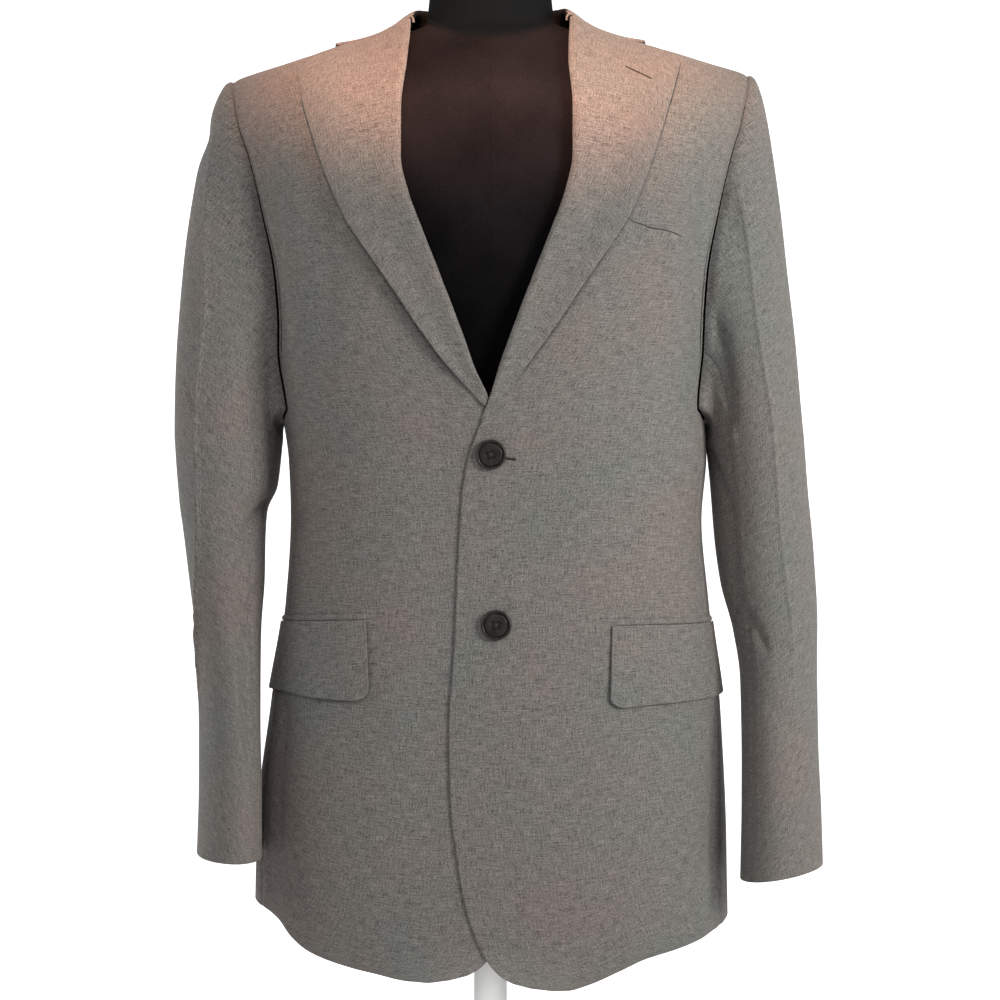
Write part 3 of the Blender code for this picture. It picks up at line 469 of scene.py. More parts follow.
# A button's outline from its back to its dish, as shares of its radius and its thickness.
BUTTON_OUTLINE = (
    (0.0, 0.0), (0.80, 0.0), (0.95, 0.10), (1.0, 0.35), (1.0, 0.62), (0.985, 0.84), (0.95, 0.97),
    (0.91, 1.0), (0.87, 0.97), (0.84, 0.84), (0.815, 0.62), (0.79, 0.48), (0.765, 0.52),
    (0.73, 0.61), (0.66, 0.64), (0.50, 0.63), (0.30, 0.60), (0.0, 0.58),
)
# Sewn holes: both ends as x and height over the floor, and half their width.
HOLES = rows(
    "name x z end_x end_z half_width",
    ("buttonhole_upper", 0.0020, 0.7222, 0.0204, 0.7199, 0.0010),
    ("buttonhole_lower", 0.0060, 0.5890, 0.0170, 0.5885, 0.0010),
    ("buttonhole_lapel", 0.1093, 1.0373, 0.1295, 1.0267, 0.0008),
)
# Flat cut of each cloth piece that shows: width, length and area.
Cut = namedtuple("Cut", "width length area held")


def curve(part, step, start, end, slope, end_slope):
    """Place on a smooth curve over one step, from its two ends and their slopes."""
    return (
        start * (1 + 2 * part) * (1 - part) ** 2
        + slope * step * part * (1 - part) ** 2
        + end * part**2 * (3 - 2 * part)
        + end_slope * step * part**2 * (part - 1)
    )


def read(table, column, at):
    """Read one column of a table at the given places of its first column, as a smooth curve."""
    places = np.array([row[0] for row in table])
    values = np.array([getattr(row, column) for row in table])
    steps = np.diff(places)
    rates = np.diff(values) / steps
    slopes = np.concatenate(([rates[0]], np.zeros(len(rates) - 1), [rates[-1]]))
    together = rates[:-1] * rates[1:] > 0
    mean = 2 * rates[:-1] * rates[1:] / np.where(together, rates[:-1] + rates[1:], 1.0)
    slopes[1:-1] = np.where(together, mean, 0.0)
    at = np.clip(at, places[0], places[-1])
    cell = np.clip(np.searchsorted(places, at) - 1, 0, len(steps) - 1)
    part = (at - places[cell]) / steps[cell]
    return curve(part, steps[cell], values[cell], values[cell + 1], slopes[cell], slopes[cell + 1])


def ease(value, low, high):
    """Rise smoothly from 0 at low to 1 at high."""
    part = np.clip((value - low) / (high - low), 0.0, 1.0)
    return part * part * (3 - 2 * part)


def between(value, low, full, fade, high):
    """Rise smoothly from 0 at low to 1 at full, and fall from fade to 0 at high."""
    return ease(value, low, full) * ease(-value, -high, -fade)


def angle_at(x, level):
    """Angle, in degrees from the centre front, of the front's point at x."""
    away = (x - read(BODY, "shift", level)) / read(BODY, "half_width", level)
    return np.degrees(np.sign(away) * np.arcsin(np.minimum(np.abs(away), 1.0) ** (ROUNDNESS / 2)))


def ridge_at(x):
    """Height of the shoulder ridge, which rises a little to the wearer's left."""
    return read(SHOULDER, "height", np.abs(x)) + SHOULDER_TILT * x


def height_at(x, level, angle):
    """Height over the hem's lowest point."""
    ridge = ridge_at(x)
    turn = np.radians(90.0 * (level - BEND) / (TOP - BEND))
    above = BEND + (ridge - BEND) * np.sin(np.clip(turn, 0.0, np.pi / 2))
    below = level + read(HEM, "lift", angle) * np.clip(1 - level / HEM_REACH, 0.0, None)
    return np.where(level > BEND, above, below)


def skin(angle, level):
    """Points of the body surface, where angle 0 is the centre front and 90 the wearer's left."""
    turn = np.radians(angle)
    reach = np.sign(np.sin(turn)) * np.abs(np.sin(turn)) ** (2 / ROUNDNESS)
    x = read(BODY, "shift", level) + read(BODY, "half_width", level) * reach
    z = height_at(x, level, angle)
    drop = np.clip(ridge_at(x) - z, 0.0, ROOF_RADIUS)
    roof = np.sqrt(1 - (1 - drop / ROOF_RADIUS) ** 2)
    depth = np.where(np.cos(turn) > 0, read(BODY, "front", level), read(BODY, "back", level))
    y = -np.sign(np.cos(turn)) * depth * np.abs(np.cos(turn)) ** (2 / ROUNDNESS) * roof
    return np.stack([x, y, z + HEM_HEIGHT], axis=-1)


def unit(vectors):
    """The vectors at length 1."""
    return vectors / np.linalg.norm(vectors, axis=-1, keepdims=True)


def outward(angle, level):
    """Unit normals of the body surface."""
    lower = np.minimum(level, ROOF)
    across = skin(angle + 0.2, lower) - skin(angle - 0.2, lower)
    along = skin(angle, lower + 0.0003) - skin(angle, lower - 0.0003)
    return unit(np.cross(across, along))


def turned_by(angle, start):
    """Signed difference of two angles, in degrees."""
    return (angle - start + 180.0) % 360.0 - 180.0


def fold_lift(angle, level):
    """How far the skirt's folds lift the cloth off the body surface."""
    lift = np.zeros(np.broadcast(angle, level).shape)
    for fold in FOLDS:
        away = turned_by(angle, fold.angle)
        lift += fold.depth * np.exp(-((away / fold.width) ** 2)) * ease(-level, -fold.level, -0.02)
    return lift


def crease_lift(group, angle, height):
    """Lift of the listed creases of the body or of one sleeve."""
    lift = np.zeros(np.broadcast(angle, height).shape)
    for crease in CREASES[group]:
        run_across = turned_by(crease.end_angle, crease.angle) * DEGREE[group]
        run_up = crease.end_height - crease.height
        length = np.hypot(run_across, run_up)
        across = turned_by(angle, crease.angle) * DEGREE[group]
        up = height - crease.height
        along = (across * run_across + up * run_up) / length**2
        aside = (across * run_up - up * run_across) / length - crease.bow * 4 * along * (1 - along)
        section = np.exp(-np.abs(aside / crease.width) ** crease.power)
        lift += crease.depth * section * between(along, *CREASE_ENDS)
    return lift * bpy.context.scene.blazer_cloth.crease


def press_lift(side, angle, height):
    """Lift of a sleeve's pressed fold: a soft roof with a narrow ridge on its top."""
    aside = turned_by(angle, read(PRESSES[side], "turn", height)) * DEGREE[side]
    roof = np.exp(-np.abs(aside) / PRESS_WIDTH) + PRESS_RIDGE * np.exp(-((aside / PRESS_EDGE) ** 2))
    fade = between(height, PRESSES[side][0].height, *PRESS_FULL, PRESSES[side][-1].height)
    return PRESS_HEIGHT[side] * roof * fade * bpy.context.scene.blazer_cloth.crease


def ripple_lift(points):
    """Lift of the small uneven waves, read at points in space."""
    lift = np.zeros(points.shape[:-1])
    for wave in RIPPLES:
        lift += wave.share * np.sin(points @ np.array([wave.x, wave.y, wave.z]) + wave.phase)
    return lift * bpy.context.scene.blazer_cloth.ripple


def cloth_point(angle, level, lift):
    """Point of the creased cloth at a lift over the body surface."""
    base = skin(angle, level)
    away = np.asarray(lift + fold_lift(angle, level) + crease_lift("body", angle, level))
    away = away + ripple_lift(base)
    return base + outward(angle, level) * away[..., None]


def front_angle(side, reach, level):
    """Angle of a place on a front, whose reach is measured from the centre line to its side."""
    lean = LAPEL_SHIFT * ease(level, 0.46, 0.50) * (1 - ease(level, 0.70, 0.80))
    sign = SIGN[side]
    return angle_at(sign * reach + lean, level)


def places_along(length, count):
    """Distances along a length: close together beside both ends and even between them."""
    inner = np.linspace(EDGE_STOPS[-1], length - EDGE_STOPS[-1], count + 1)[1:-1]
    return np.concatenate([EDGE_STOPS, inner, length - EDGE_STOPS[::-1]])


def travelled(points, axis):
    """Distance travelled along one axis of a grid of points."""
    steps = np.linalg.norm(np.diff(points, axis=axis), axis=-1)
    start = np.zeros_like(np.take(steps, [0], axis=axis))
    return np.concatenate([start, np.cumsum(steps, axis=axis)], axis=axis)


def spread(first, last, levels, count):
    """Angles across each row, at even distances between its first and last angle."""
    coarse = first[:, None] + (last - first)[:, None] * np.linspace(0.0, 1.0, 61)
    length = travelled(skin(coarse, np.broadcast_to(levels[:, None], coarse.shape)), 1)
    return np.stack([
        np.interp(places_along(reach[-1], count), reach, row)
        for reach, row in zip(length, coarse)])


def grid_normals(points):
    """Unit normals of a grid of points, from its neighbours."""
    return unit(np.cross(np.gradient(points, axis=1), np.gradient(points, axis=0)))


def edges_of(points):
    """The four edges of a grid."""
    return {"low": points[0], "high": points[-1], "first": points[:, 0], "last": points[:, -1]}


def distance_to(rim, points):
    """Distance of every point of a grid to the nearest point of a rim."""
    tree = KDTree(len(rim))
    for index, point in enumerate(rim):
        tree.insert(point, index)
    tree.balance()
    flat = points.reshape(-1, 3)
    return np.array([tree.find(point)[2] for point in flat]).reshape(points.shape[:-1])


def line_of(points, normals):
    """A ribbon's line from its points and the normals there."""
    return [(Vector(point), Vector(out)) for point, out in zip(points, normals)]


def weave_map(points):
    """Place of every grid point along the cloth's two threads, in metres."""
    middle = points.shape[1] // 2
    across = travelled(points, 1)
    up = travelled(points, 0)[:, middle]
    up = np.broadcast_to(up[:, None], across.shape)
    return np.stack([across - across[:, [middle]], up], axis=-1)


def finish_piece(thing, slot, *nodes):
    """Tie a new piece to the frame's root body and hide the nodes it stands for; the slot is not
    used.
    """
    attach(thing, "root")
    if nodes:
        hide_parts(*nodes)
    return thing


def add_object(name, shape, material):
    """Turn a bmesh into a smooth named object in a look, with its faces pointing out."""
    bmesh.ops.recalc_face_normals(shape, faces=shape.faces)
    if shape.calc_volume(signed=True) < 0:
        bmesh.ops.reverse_faces(shape, faces=shape.faces)
    mesh = bpy.data.meshes.new(name)
    shape.to_mesh(mesh)
    shape.free()
    mesh.materials.append(look(material))
    mesh.shade_smooth()
    thing = bpy.data.objects.new(name, mesh)
    bpy.context.collection.objects.link(thing)
    return thing


def verts_in(geometry):
    """The vertices among the geometry that an operator returns."""
    return [item for item in geometry if isinstance(item, bmesh.types.BMVert)]


def loop_edges(shape, loop):
    """New edges round a closed loop of vertices."""
    return [shape.edges.new(pair) for pair in zip(loop, loop[1:] + loop[:1])]


def add_wall(name, outer, inner, weave, material):
    """A closed wall between two grids of points, with its weave as a UV map in metres."""
    height, width = outer.shape[:2]
    shape = bmesh.new()
    bmesh.ops.create_grid(shape, x_segments=width - 1, y_segments=height - 1, size=1.0)
    cell = shape.verts.layers.int.new("cell")
    for vert in shape.verts:
        column = round((vert.co.x + 1) / 2 * (width - 1))
        row = round((vert.co.y + 1) / 2 * (height - 1))
        vert[cell] = row * width + column
    pulled = bmesh.ops.extrude_face_region(shape, geom=shape.faces[:])["geom"]
    outer_verts = set(verts_in(pulled))
    faces = {True: outer.reshape(-1, 3), False: inner.reshape(-1, 3)}
    for vert in shape.verts:
        vert.co = faces[vert in outer_verts][vert[cell]]
    thing = add_object(name, shape, material)
    mesh = thing.data
    cells = np.empty(len(mesh.vertices), dtype=np.int32)
    mesh.attributes["cell"].data.foreach_get("value", cells)
    corners = np.empty(len(mesh.loops), dtype=np.int32)
    mesh.loops.foreach_get("vertex_index", corners)
    layer = mesh.uv_layers.new(name="weave")
    layer.data.foreach_set("uv", weave.reshape(-1, 2)[cells[corners]].astype(np.float32).ravel())
    mesh.attributes.remove(mesh.attributes["cell"])
    return thing


def round_edge(away, wall):
    """Half thickness of a wall at a distance from its edge, rounded like folded cloth."""
    part = np.clip(away / EDGE_RADIUS, 0.0, 1.0)
    return wall / 2 * (EDGE_SHARE + (1 - EDGE_SHARE) * np.sqrt(1 - (1 - part) ** 2))


def sew(name, node, outer, normals, sewn, wall=WALL, free=None, weave=None):
    """A cloth piece from its outer face: free edges are round, sewn edges sink into a seam."""
    edges = edges_of(outer)
    if free is None:
        free = np.concatenate([edges[edge] for edge in edges if edge not in sewn])
    lift = np.zeros(outer.shape[:-1])
    if sewn:
        seam = distance_to(np.concatenate([edges[edge] for edge in sewn]), outer)
        ridge = ease(-seam, -SEAM_ALLOWANCE - 0.002, -SEAM_ALLOWANCE)
        lift = SEAM_RIDGE * ridge - SEAM_DIP * np.exp(-((seam / SEAM_WIDTH) ** 2))
    half = round_edge(distance_to(free, outer), wall)
    middle = outer + normals * (lift - wall / 2)[..., None]
    faces = [middle + normals * side * half[..., None] for side in (1.0, -1.0)]
    weave = weave_map(outer) if weave is None else weave
    thing = add_wall(name, *faces, weave, "grey_wool")
    finish_piece(thing, "wool", node)
    return thing


# Fronts, sides and back.

def armhole_angle(side, level):
    """Angle of the front's or the back's armhole seam, above the armpit."""
    sign = SIGN[side]
    return np.abs(angle_at(sign * read(ARMHOLE, "reach", level), level))


def outer_angle(side, level, seam):
    """Outer edge of a front or back: the side seam, then the armhole."""
    hole = armhole_angle(side, level)
    if seam > 90.0:
        hole = 180.0 - hole
    above = seam + (hole - seam) * ease(level, ARMPIT, ARMHOLE_TOP)
    return np.where(level > ARMPIT + 1e-6, above, seam)


def armhole_lift(side, angles, levels):
    """The body sinks towards the armhole seam, most beside the armpit."""
    away = distance_to(armhole_seam(side)[0], cloth_point(angles, levels, 0.0))
    depth = ARMHOLE_DIP + ARMPIT_HOLLOW * between(levels, *ARMPIT_HOLLOW_AT)
    return -depth * np.exp(-((away / ARMHOLE_WIDTH) ** 2))


def sew_front(side):
    """One front, from its edge to the side seam and the armhole."""
    sign = SIGN[side]
    heights = places_along(ROOF, GRID["front"][1])
    edge = read(FRONT_EDGE, "reach", heights)
    inner = front_angle(side, edge, heights)
    near = edge + LAPEL_NEAR
    middle = np.where(heights < LAPEL_EDGE[0].level, near, read(LAPEL_EDGE, "reach", heights))
    middle = front_angle(side, np.maximum(middle, near), heights)
    outer = sign * (outer_angle(side, heights, FRONT_SEAM) - SEAM_TURN)
    covered = spread(inner, middle, heights, GRID["covered"][0])
    bare = spread(middle, outer, heights, GRID["front"][0])
    angles = np.concatenate([covered, bare[:, 1:]], axis=1)
    levels = np.broadcast_to(heights[:, None], angles.shape)
    across = travelled(skin(angles, levels), 1)
    beside = np.abs(across - across[:, [covered.shape[1] - 1]])
    groove = -LAPEL_GROOVE * np.exp(-((beside / LAPEL_GROOVE_WIDTH) ** 2))
    lift = groove * between(levels, *LAPEL_GROOVE_AT)
    if side == "right":
        rise = np.clip(1 - levels / HEM_REACH, 0.0, None)
        levels = levels + UNDER_HEM * ease(angles, -22.0, -8.0) * rise
        lift = lift - TUCK * ease(angles, -24.0, -9.0) * ease(-levels, -0.500, -0.466)
    points = cloth_point(angles, levels, lift + armhole_lift(side, angles, levels))
    sew(f"wool_front_{side}", f"front_{side}", points, outward(angles, levels),
        ("last", "high"))


def armpit_dip(angle, level):
    """The side panel's top edge is hollowed under the arm."""
    middle = (FRONT_SEAM + BACK_SEAM) / 2
    across = np.clip((np.abs(angle) - middle) / (BACK_SEAM - middle), -1.0, 1.0)
    return ARMPIT_DIP * (1 - across**2) * ease(level, 0.390, ARMPIT)


def sew_side(side):
    """One side panel, under the armhole."""
    sign = SIGN[side]
    heights = places_along(ARMPIT, GRID["side"][1])
    seams = (FRONT_SEAM + SEAM_TURN, BACK_SEAM - SEAM_TURN)
    edges = [np.full(heights.shape, sign * seam) for seam in seams]
    angles = spread(*edges, heights, GRID["side"][0])
    levels = heights[:, None] - armpit_dip(angles, np.broadcast_to(heights[:, None], angles.shape))
    points = cloth_point(angles, levels, armhole_lift(side, angles, levels))
    sew(f"wool_side_{side}", f"side_{side}", points, outward(angles, levels),
        ("first", "last", "high"))


def sew_back(side):
    """One half of the back, from the side seam to the centre seam, armhole and neck."""
    sign = SIGN[side]
    heights = places_along(ROOF, GRID["back"][1])
    outer = sign * (outer_angle(side, heights, BACK_SEAM) + SEAM_TURN)
    centre = np.full(heights.shape, sign * (180.0 - SEAM_TURN))
    angles = spread(outer, centre, heights, GRID["back"][0])
    levels = np.broadcast_to(heights[:, None], angles.shape)
    neck = read(NECKLINE, "reach", np.abs(skin(angles, levels)[..., 0]))
    levels = np.where(levels > BEND, BEND + (levels - BEND) * (neck - BEND) / (ROOF - BEND), levels)
    points = cloth_point(angles, levels, armhole_lift(side, angles, levels))
    sew(f"wool_back_{side}", f"back_{side}", points, outward(angles, levels),
        ("first", "last", "high"))


# Lapels and collar.

def lapel_roll(side, levels):
    """Reach of a lapel's roll, where the wearer's right one keeps clear of the left one."""
    roll = read(FRONT_EDGE, "reach", levels) - LAPEL_OVER
    if side == "right":
        roll = np.maximum(roll, LAPEL_CLEAR - roll)
    return roll


def sew_lapel(side):
    """One lapel, rolled over the front's edge and lying on the front."""
    foot = LAPEL_FOOT[side]
    stops = np.array(LAPEL_HEAD)
    climb = places_along(LAPEL_LENGTH, GRID["lapel"][1])[:, None] / LAPEL_LENGTH
    guess = foot + (stops[0, 1] - foot) * climb
    roll = lapel_roll(side, guess)
    width = read(LAPEL_EDGE, "reach", guess) - roll
    across = np.stack([places_along(reach, GRID["lapel"][0]) / reach for reach in width[:, 0]])
    levels = foot + (np.interp(across, stops[:, 0], stops[:, 1]) - foot) * climb
    roll = lapel_roll(side, levels)
    edge = read(LAPEL_EDGE, "reach", levels)
    reach = roll + (edge - roll) * across
    head = LAPEL_HEAD_ROLL * ease(levels, 0.76, 0.812)
    lift = LAPEL_LIFT + (LAPEL_ROLL + head) * (1 - across) ** 3
    bow = between(levels, *LAPEL_BOW_FROM[side], *LAPEL_BOW_TO)
    lift = lift + LAPEL_BOW * ease(across, 0.45, 1.0) * bow
    bend = np.pi / 2 * np.clip((reach - roll) / LAPEL_WRAP, 0.0, 1.0)
    fade = ease(levels, foot, foot + 0.05)
    reach = reach - LAPEL_WRAP * (1 - bend / (np.pi / 2)) * 0.6 * fade
    lift = lift - LAPEL_WRAP * (1 - np.sin(bend)) * fade
    angles = front_angle(side, reach, levels)
    rise = ease(levels, foot, foot + 0.035)
    points = cloth_point(angles, levels, (lift + WALL) * rise - LAPEL_SINK * (1 - rise))
    normals = grid_normals(points)
    normals *= np.sign(np.sum(normals * outward(angles, levels), axis=-1).mean())
    edges = edges_of(points)
    notch = edges["high"][across[-1] > stops[1, 0]]
    free = np.concatenate([edges["low"], edges["first"], edges["last"], notch])
    sew(f"wool_lapel_{side}", f"lapel_{side}", points, normals, (), free=free)


def surface_over(x, y):
    """Angles and levels of the body surface at x and y, on the shoulders and the neck."""
    low = np.full(np.shape(x), BEND)
    high = np.full(np.shape(x), TOP)
    for _ in range(40):
        middle = (low + high) / 2
        front = angle_at(x, middle)
        angle = np.where(y < 0, front, 180.0 - front)
        inside = np.abs(skin(angle, middle)[..., 1]) > np.abs(y)
        low = np.where(inside, middle, low)
        high = np.where(inside, high, middle)
    return angle, low


def collar_line(places):
    """Middle surface of the collar: rows from the stand's seam over the roll to the leaf's edge."""
    sign = np.where(places < 0, -1.0, 1.0)
    station = COLLAR[-1].place - np.abs(places)
    get = {name: read(COLLAR, name, station) for name in COLLAR[0]._fields}
    seam = np.stack([sign * get["seam_x"], get["seam_y"]], axis=-1)
    roll = np.stack([sign * get["roll_x"], get["roll_y"]], axis=-1)
    tip = np.exp(-((station / TIP_LENGTH) ** 2))
    edge = np.stack([sign * (get["edge_x"] + TIP_REACH * tip), get["edge_y"]], axis=-1)
    outwards = unit(edge - roll)
    angle, level = surface_over(seam[:, 0], seam[:, 1])
    foot_z = skin(angle, level)[:, 2] + COLLAR_FOOT_GAP
    top_z = get["roll_z"] + SHOULDER_TILT * roll[:, 0] + HEM_HEIGHT - WALL / 2
    inner_top = roll - outwards * STAND_IN
    lines = [
        np.column_stack([seam, foot_z]),
        np.column_stack([(seam + inner_top) / 2, (foot_z + top_z - 0.003) / 2]),
        np.column_stack([inner_top, top_z - STAND_DROP]),
        np.column_stack([roll, top_z]),
    ]
    angle, level = surface_over(roll[:, 0], roll[:, 1])
    rise = top_z - skin(angle, level)[:, 2]
    for part in LEAF_ROWS:
        xy = roll + (edge - roll) * part
        angle, level = surface_over(xy[:, 0], xy[:, 1])
        fall = (rise - LEAF_SLACK) * (1 - part) ** LEAF_FALL
        lift = LAPEL_LIFT + WALL / 2 + fall + TIP_LIFT * tip * part**3
        lines.append(skin(angle, level) + outward(angle, level) * lift[:, None])
    return np.stack(lines)


def smooth_rows(points, count):
    """The grid's columns as smooth curves, read at places close together beside both ends."""
    length = travelled(points, 0)
    slopes = np.gradient(points, axis=0) / np.gradient(length, axis=0)[..., None]
    columns = []
    for column in range(points.shape[1]):
        reach = length[:, column]
        at = places_along(reach[-1], count)
        cell = np.clip(np.searchsorted(reach, at) - 1, 0, len(reach) - 2)
        step = (reach[cell + 1] - reach[cell])[:, None]
        part = ((at - reach[cell]) / step[:, 0])[:, None]
        ends = points[cell, column], points[cell + 1, column]
        columns.append(curve(part, step, *ends, slopes[cell, column], slopes[cell + 1, column]))
    return np.stack(columns, axis=1)


def sew_collar():
    """The collar: stand, roll and leaf in one piece round the neck, with painted shade on its neck
    side.
    """
    end = COLLAR[-1].place
    columns, rows_up = GRID["collar"]
    half = places_along(2 * end * STATION_LENGTH, columns) / STATION_LENGTH - end
    middle = smooth_rows(collar_line(half), rows_up)
    normals = grid_normals(middle)
    outer = middle + normals * (WALL / 2 + ripple_lift(middle))[..., None]
    collar = sew("wool_collar", "collar", outer, normals, (), free=outer[-1])
    mesh = collar.data
    # Painted shade: faces turned to the neck get near-black cloth, for the shadow between collar
    # and neck.
    mesh.materials.append(look("black_lining"))
    for face in mesh.polygons:
        inward = Vector((0.0, NECK_CENTRE_Y, face.center.z)) - face.center
        if face.normal.dot(inward.normalized()) > COLLAR_SHADE_TURN:
            face.material_index = 1


# Sleeves.

def armhole_seam(side):
    """Points and normals of the armhole seam, from the shoulder down the front and up the back."""
    sign = SIGN[side]
    heights = np.concatenate([np.linspace(ARMPIT, BEND, 26)[:-1], np.linspace(BEND, ROOF, 60)])
    front = sign * outer_angle(side, heights, FRONT_SEAM)
    back = sign * outer_angle(side, heights, BACK_SEAM)
    turns = sign * np.linspace(FRONT_SEAM, BACK_SEAM, 24)[1:-1]
    angles = np.concatenate([front[::-1], turns, back[:-1]])
    under = ARMPIT - armpit_dip(turns, np.full(turns.shape, ARMPIT))
    levels = np.concatenate([heights[::-1], under, heights[:-1]])
    return cloth_point(angles, levels, 0.0), outward(angles, levels)


def sleeve_ring(side, height, turns):
    """Points of a hanging sleeve's section, turn 0 outside and 90 in front."""
    sign = SIGN[side]
    table = SLEEVES[side]
    toe = np.radians(read(table, "turn", height))
    out = np.cos(turns) * read(table, "half_width", height)
    ahead = np.sin(turns) * read(table, "half_depth", height)
    x = read(table, "reach", height) + out * np.cos(toe) - ahead * np.sin(toe)
    y = read(table, "centre_y", height) - ahead * np.cos(toe) - out * np.sin(toe)
    tilt = CUFF_TILT[side] * np.cos(turns) * ease(-height, -table[1].height, -table[0].height)
    return np.stack([sign * x, y, height + HEM_HEIGHT + tilt], axis=-1)


def sleeve_points(side, turns):
    """Outer face of a sleeve at given turns, in degrees, with rows from the armhole to the cuff."""
    sign = SIGN[side]
    seam, normal = armhole_seam(side)
    ring = np.vstack([seam, seam[:1]])
    length = np.concatenate([[0.0], np.cumsum(np.linalg.norm(np.diff(ring, axis=0), axis=1))])
    tangent = unit(np.roll(seam, -1, axis=0) - np.roll(seam, 1, axis=0))
    away = sign * np.cross(normal, tangent)
    start = seam + (normal + away) * SLEEVE_START
    where = turns % 360.0 / 360.0 * length[-1]
    start = np.stack(
        [np.interp(where, length[:-1], start[:, axis], period=length[-1]) for axis in range(3)], 1)
    turns = np.radians(turns)
    heights = [section.height for section in SLEEVES[side]]
    first = sleeve_ring(side, heights[-1], turns)
    reach = np.linalg.norm(first - start, axis=1)[:, None]
    leave = unit(np.stack(
        [np.full(len(turns), sign), -0.25 * np.sin(turns), 0.10 * np.cos(turns)], axis=-1))
    spring = SLEEVE_LEAVE[side] + SLEEVE_SPRING * reach
    swell = SLEEVE_SWELL[side] * np.cos(turns / 2) ** 2
    arrive = np.stack([sign * swell, np.zeros(len(turns)), SLEEVE_PULL * reach[:, 0]], axis=-1)
    rings = []
    for part in np.linspace(0.0, 1.0, 60)[:, None]:
        rings.append(
            start * (1 - part) ** 3
            + (start + leave * spring) * 3 * part * (1 - part) ** 2
            + (first + arrive) * 3 * part**2 * (1 - part)
            + first * part**3
        )
    down = np.linspace(heights[-1], heights[0], 90)[1:]
    rings.extend(sleeve_ring(side, height, turns) for height in down)
    return np.stack(rings)


def sew_sleeve_piece(side, part, first, last):
    """One of a sleeve's two pieces, between two seams at given turns."""
    columns, rows_up = GRID[f"sleeve_{part}"]
    gap = np.degrees(SLEEVE_GAP / SLEEVE_RADIUS)
    span = np.radians(last - first) * SLEEVE_RADIUS
    turns = first + gap + (last - first - 2 * gap) * places_along(span, columns) / span
    coarse = sleeve_points(side, turns)
    length = travelled(coarse, 0)
    points = np.stack([
        np.stack([np.interp(places_along(length[-1, i], rows_up), length[:, i], coarse[:, i, axis])
                  for axis in range(3)], axis=-1)
        for i in range(len(turns))], axis=1)
    normals = grid_normals(points)
    cuff_centre = sleeve_points(side, np.arange(0.0, 360.0, 10.0))[-1].mean(axis=0)
    normals *= np.sign(np.sum(normals[-1] * (points[-1] - cuff_centre)))
    height = points[..., 2] - HEM_HEIGHT
    from_top = travelled(points, 0)
    to_cuff = from_top[-1] - from_top
    places = np.broadcast_to(turns, height.shape)
    lift = crease_lift(side, places, height) + press_lift(side, places, height)
    lift = (lift + ripple_lift(points)) * ease(from_top, 0.001, 0.012)
    hollow = ARMPIT_HOLLOW * np.sin(np.radians(places)) ** 2
    lift -= hollow * np.exp(-((from_top / ARMHOLE_WIDTH) ** 2))
    lift -= CUFF_GROOVE[side] * np.exp(-(((to_cuff - CUFF_LINE) / CUFF_GROOVE_WIDTH) ** 2))
    points = points + normals * lift[..., None]
    around = np.broadcast_to(np.radians(turns) * SLEEVE_RADIUS, height.shape)
    weave = np.stack([around, points[..., 2] - 0.8 * np.abs(points[..., 0])], axis=-1)
    sew(f"wool_sleeve_{part}_{side}", f"sleeve_{part}_{side}", points, normals,
        ("first", "last", "low"), weave=weave)


def sew_sleeve(side):
    """A hollow sleeve of two pieces, top and under."""
    front, back = SLEEVE_SEAMS
    sew_sleeve_piece(side, "top", back - 360.0, front)
    sew_sleeve_piece(side, "under", front, back)
    seam, normal = armhole_seam(side)
    low = -HEM_HEIGHT - 0.66
    depth = SEAM_CORD_DEPTH + CORD_SINK * ease(-seam[:, 2], low, low + 0.12)
    line = line_of(seam - normal * depth[:, None], normal)
    add_ribbon(f"wool_armhole_{side}", line, True, SEAM_CORD, SEAM_CORD, "grey_wool", "wool")


def sew_gorge(side):
    """The seam between a lapel's head and the collar's end."""
    shares = np.linspace(0.02, LAPEL_HEAD[1][0] - 0.02, 40)
    stops = np.array(LAPEL_HEAD)
    levels = np.interp(shares, stops[:, 0], stops[:, 1])
    roll = lapel_roll(side, levels)
    angles = front_angle(side, roll + (read(LAPEL_EDGE, "reach", levels) - roll) * shares, levels)
    lift = LAPEL_LIFT + WALL + (LAPEL_ROLL + LAPEL_HEAD_ROLL) * (1 - shares) ** 3 - GORGE_DEPTH
    line = line_of(cloth_point(angles, levels, lift), outward(angles, levels))
    add_ribbon(f"wool_gorge_{side}", line, False, SEAM_CORD, SEAM_CORD, "grey_wool", "wool")


# Pockets.

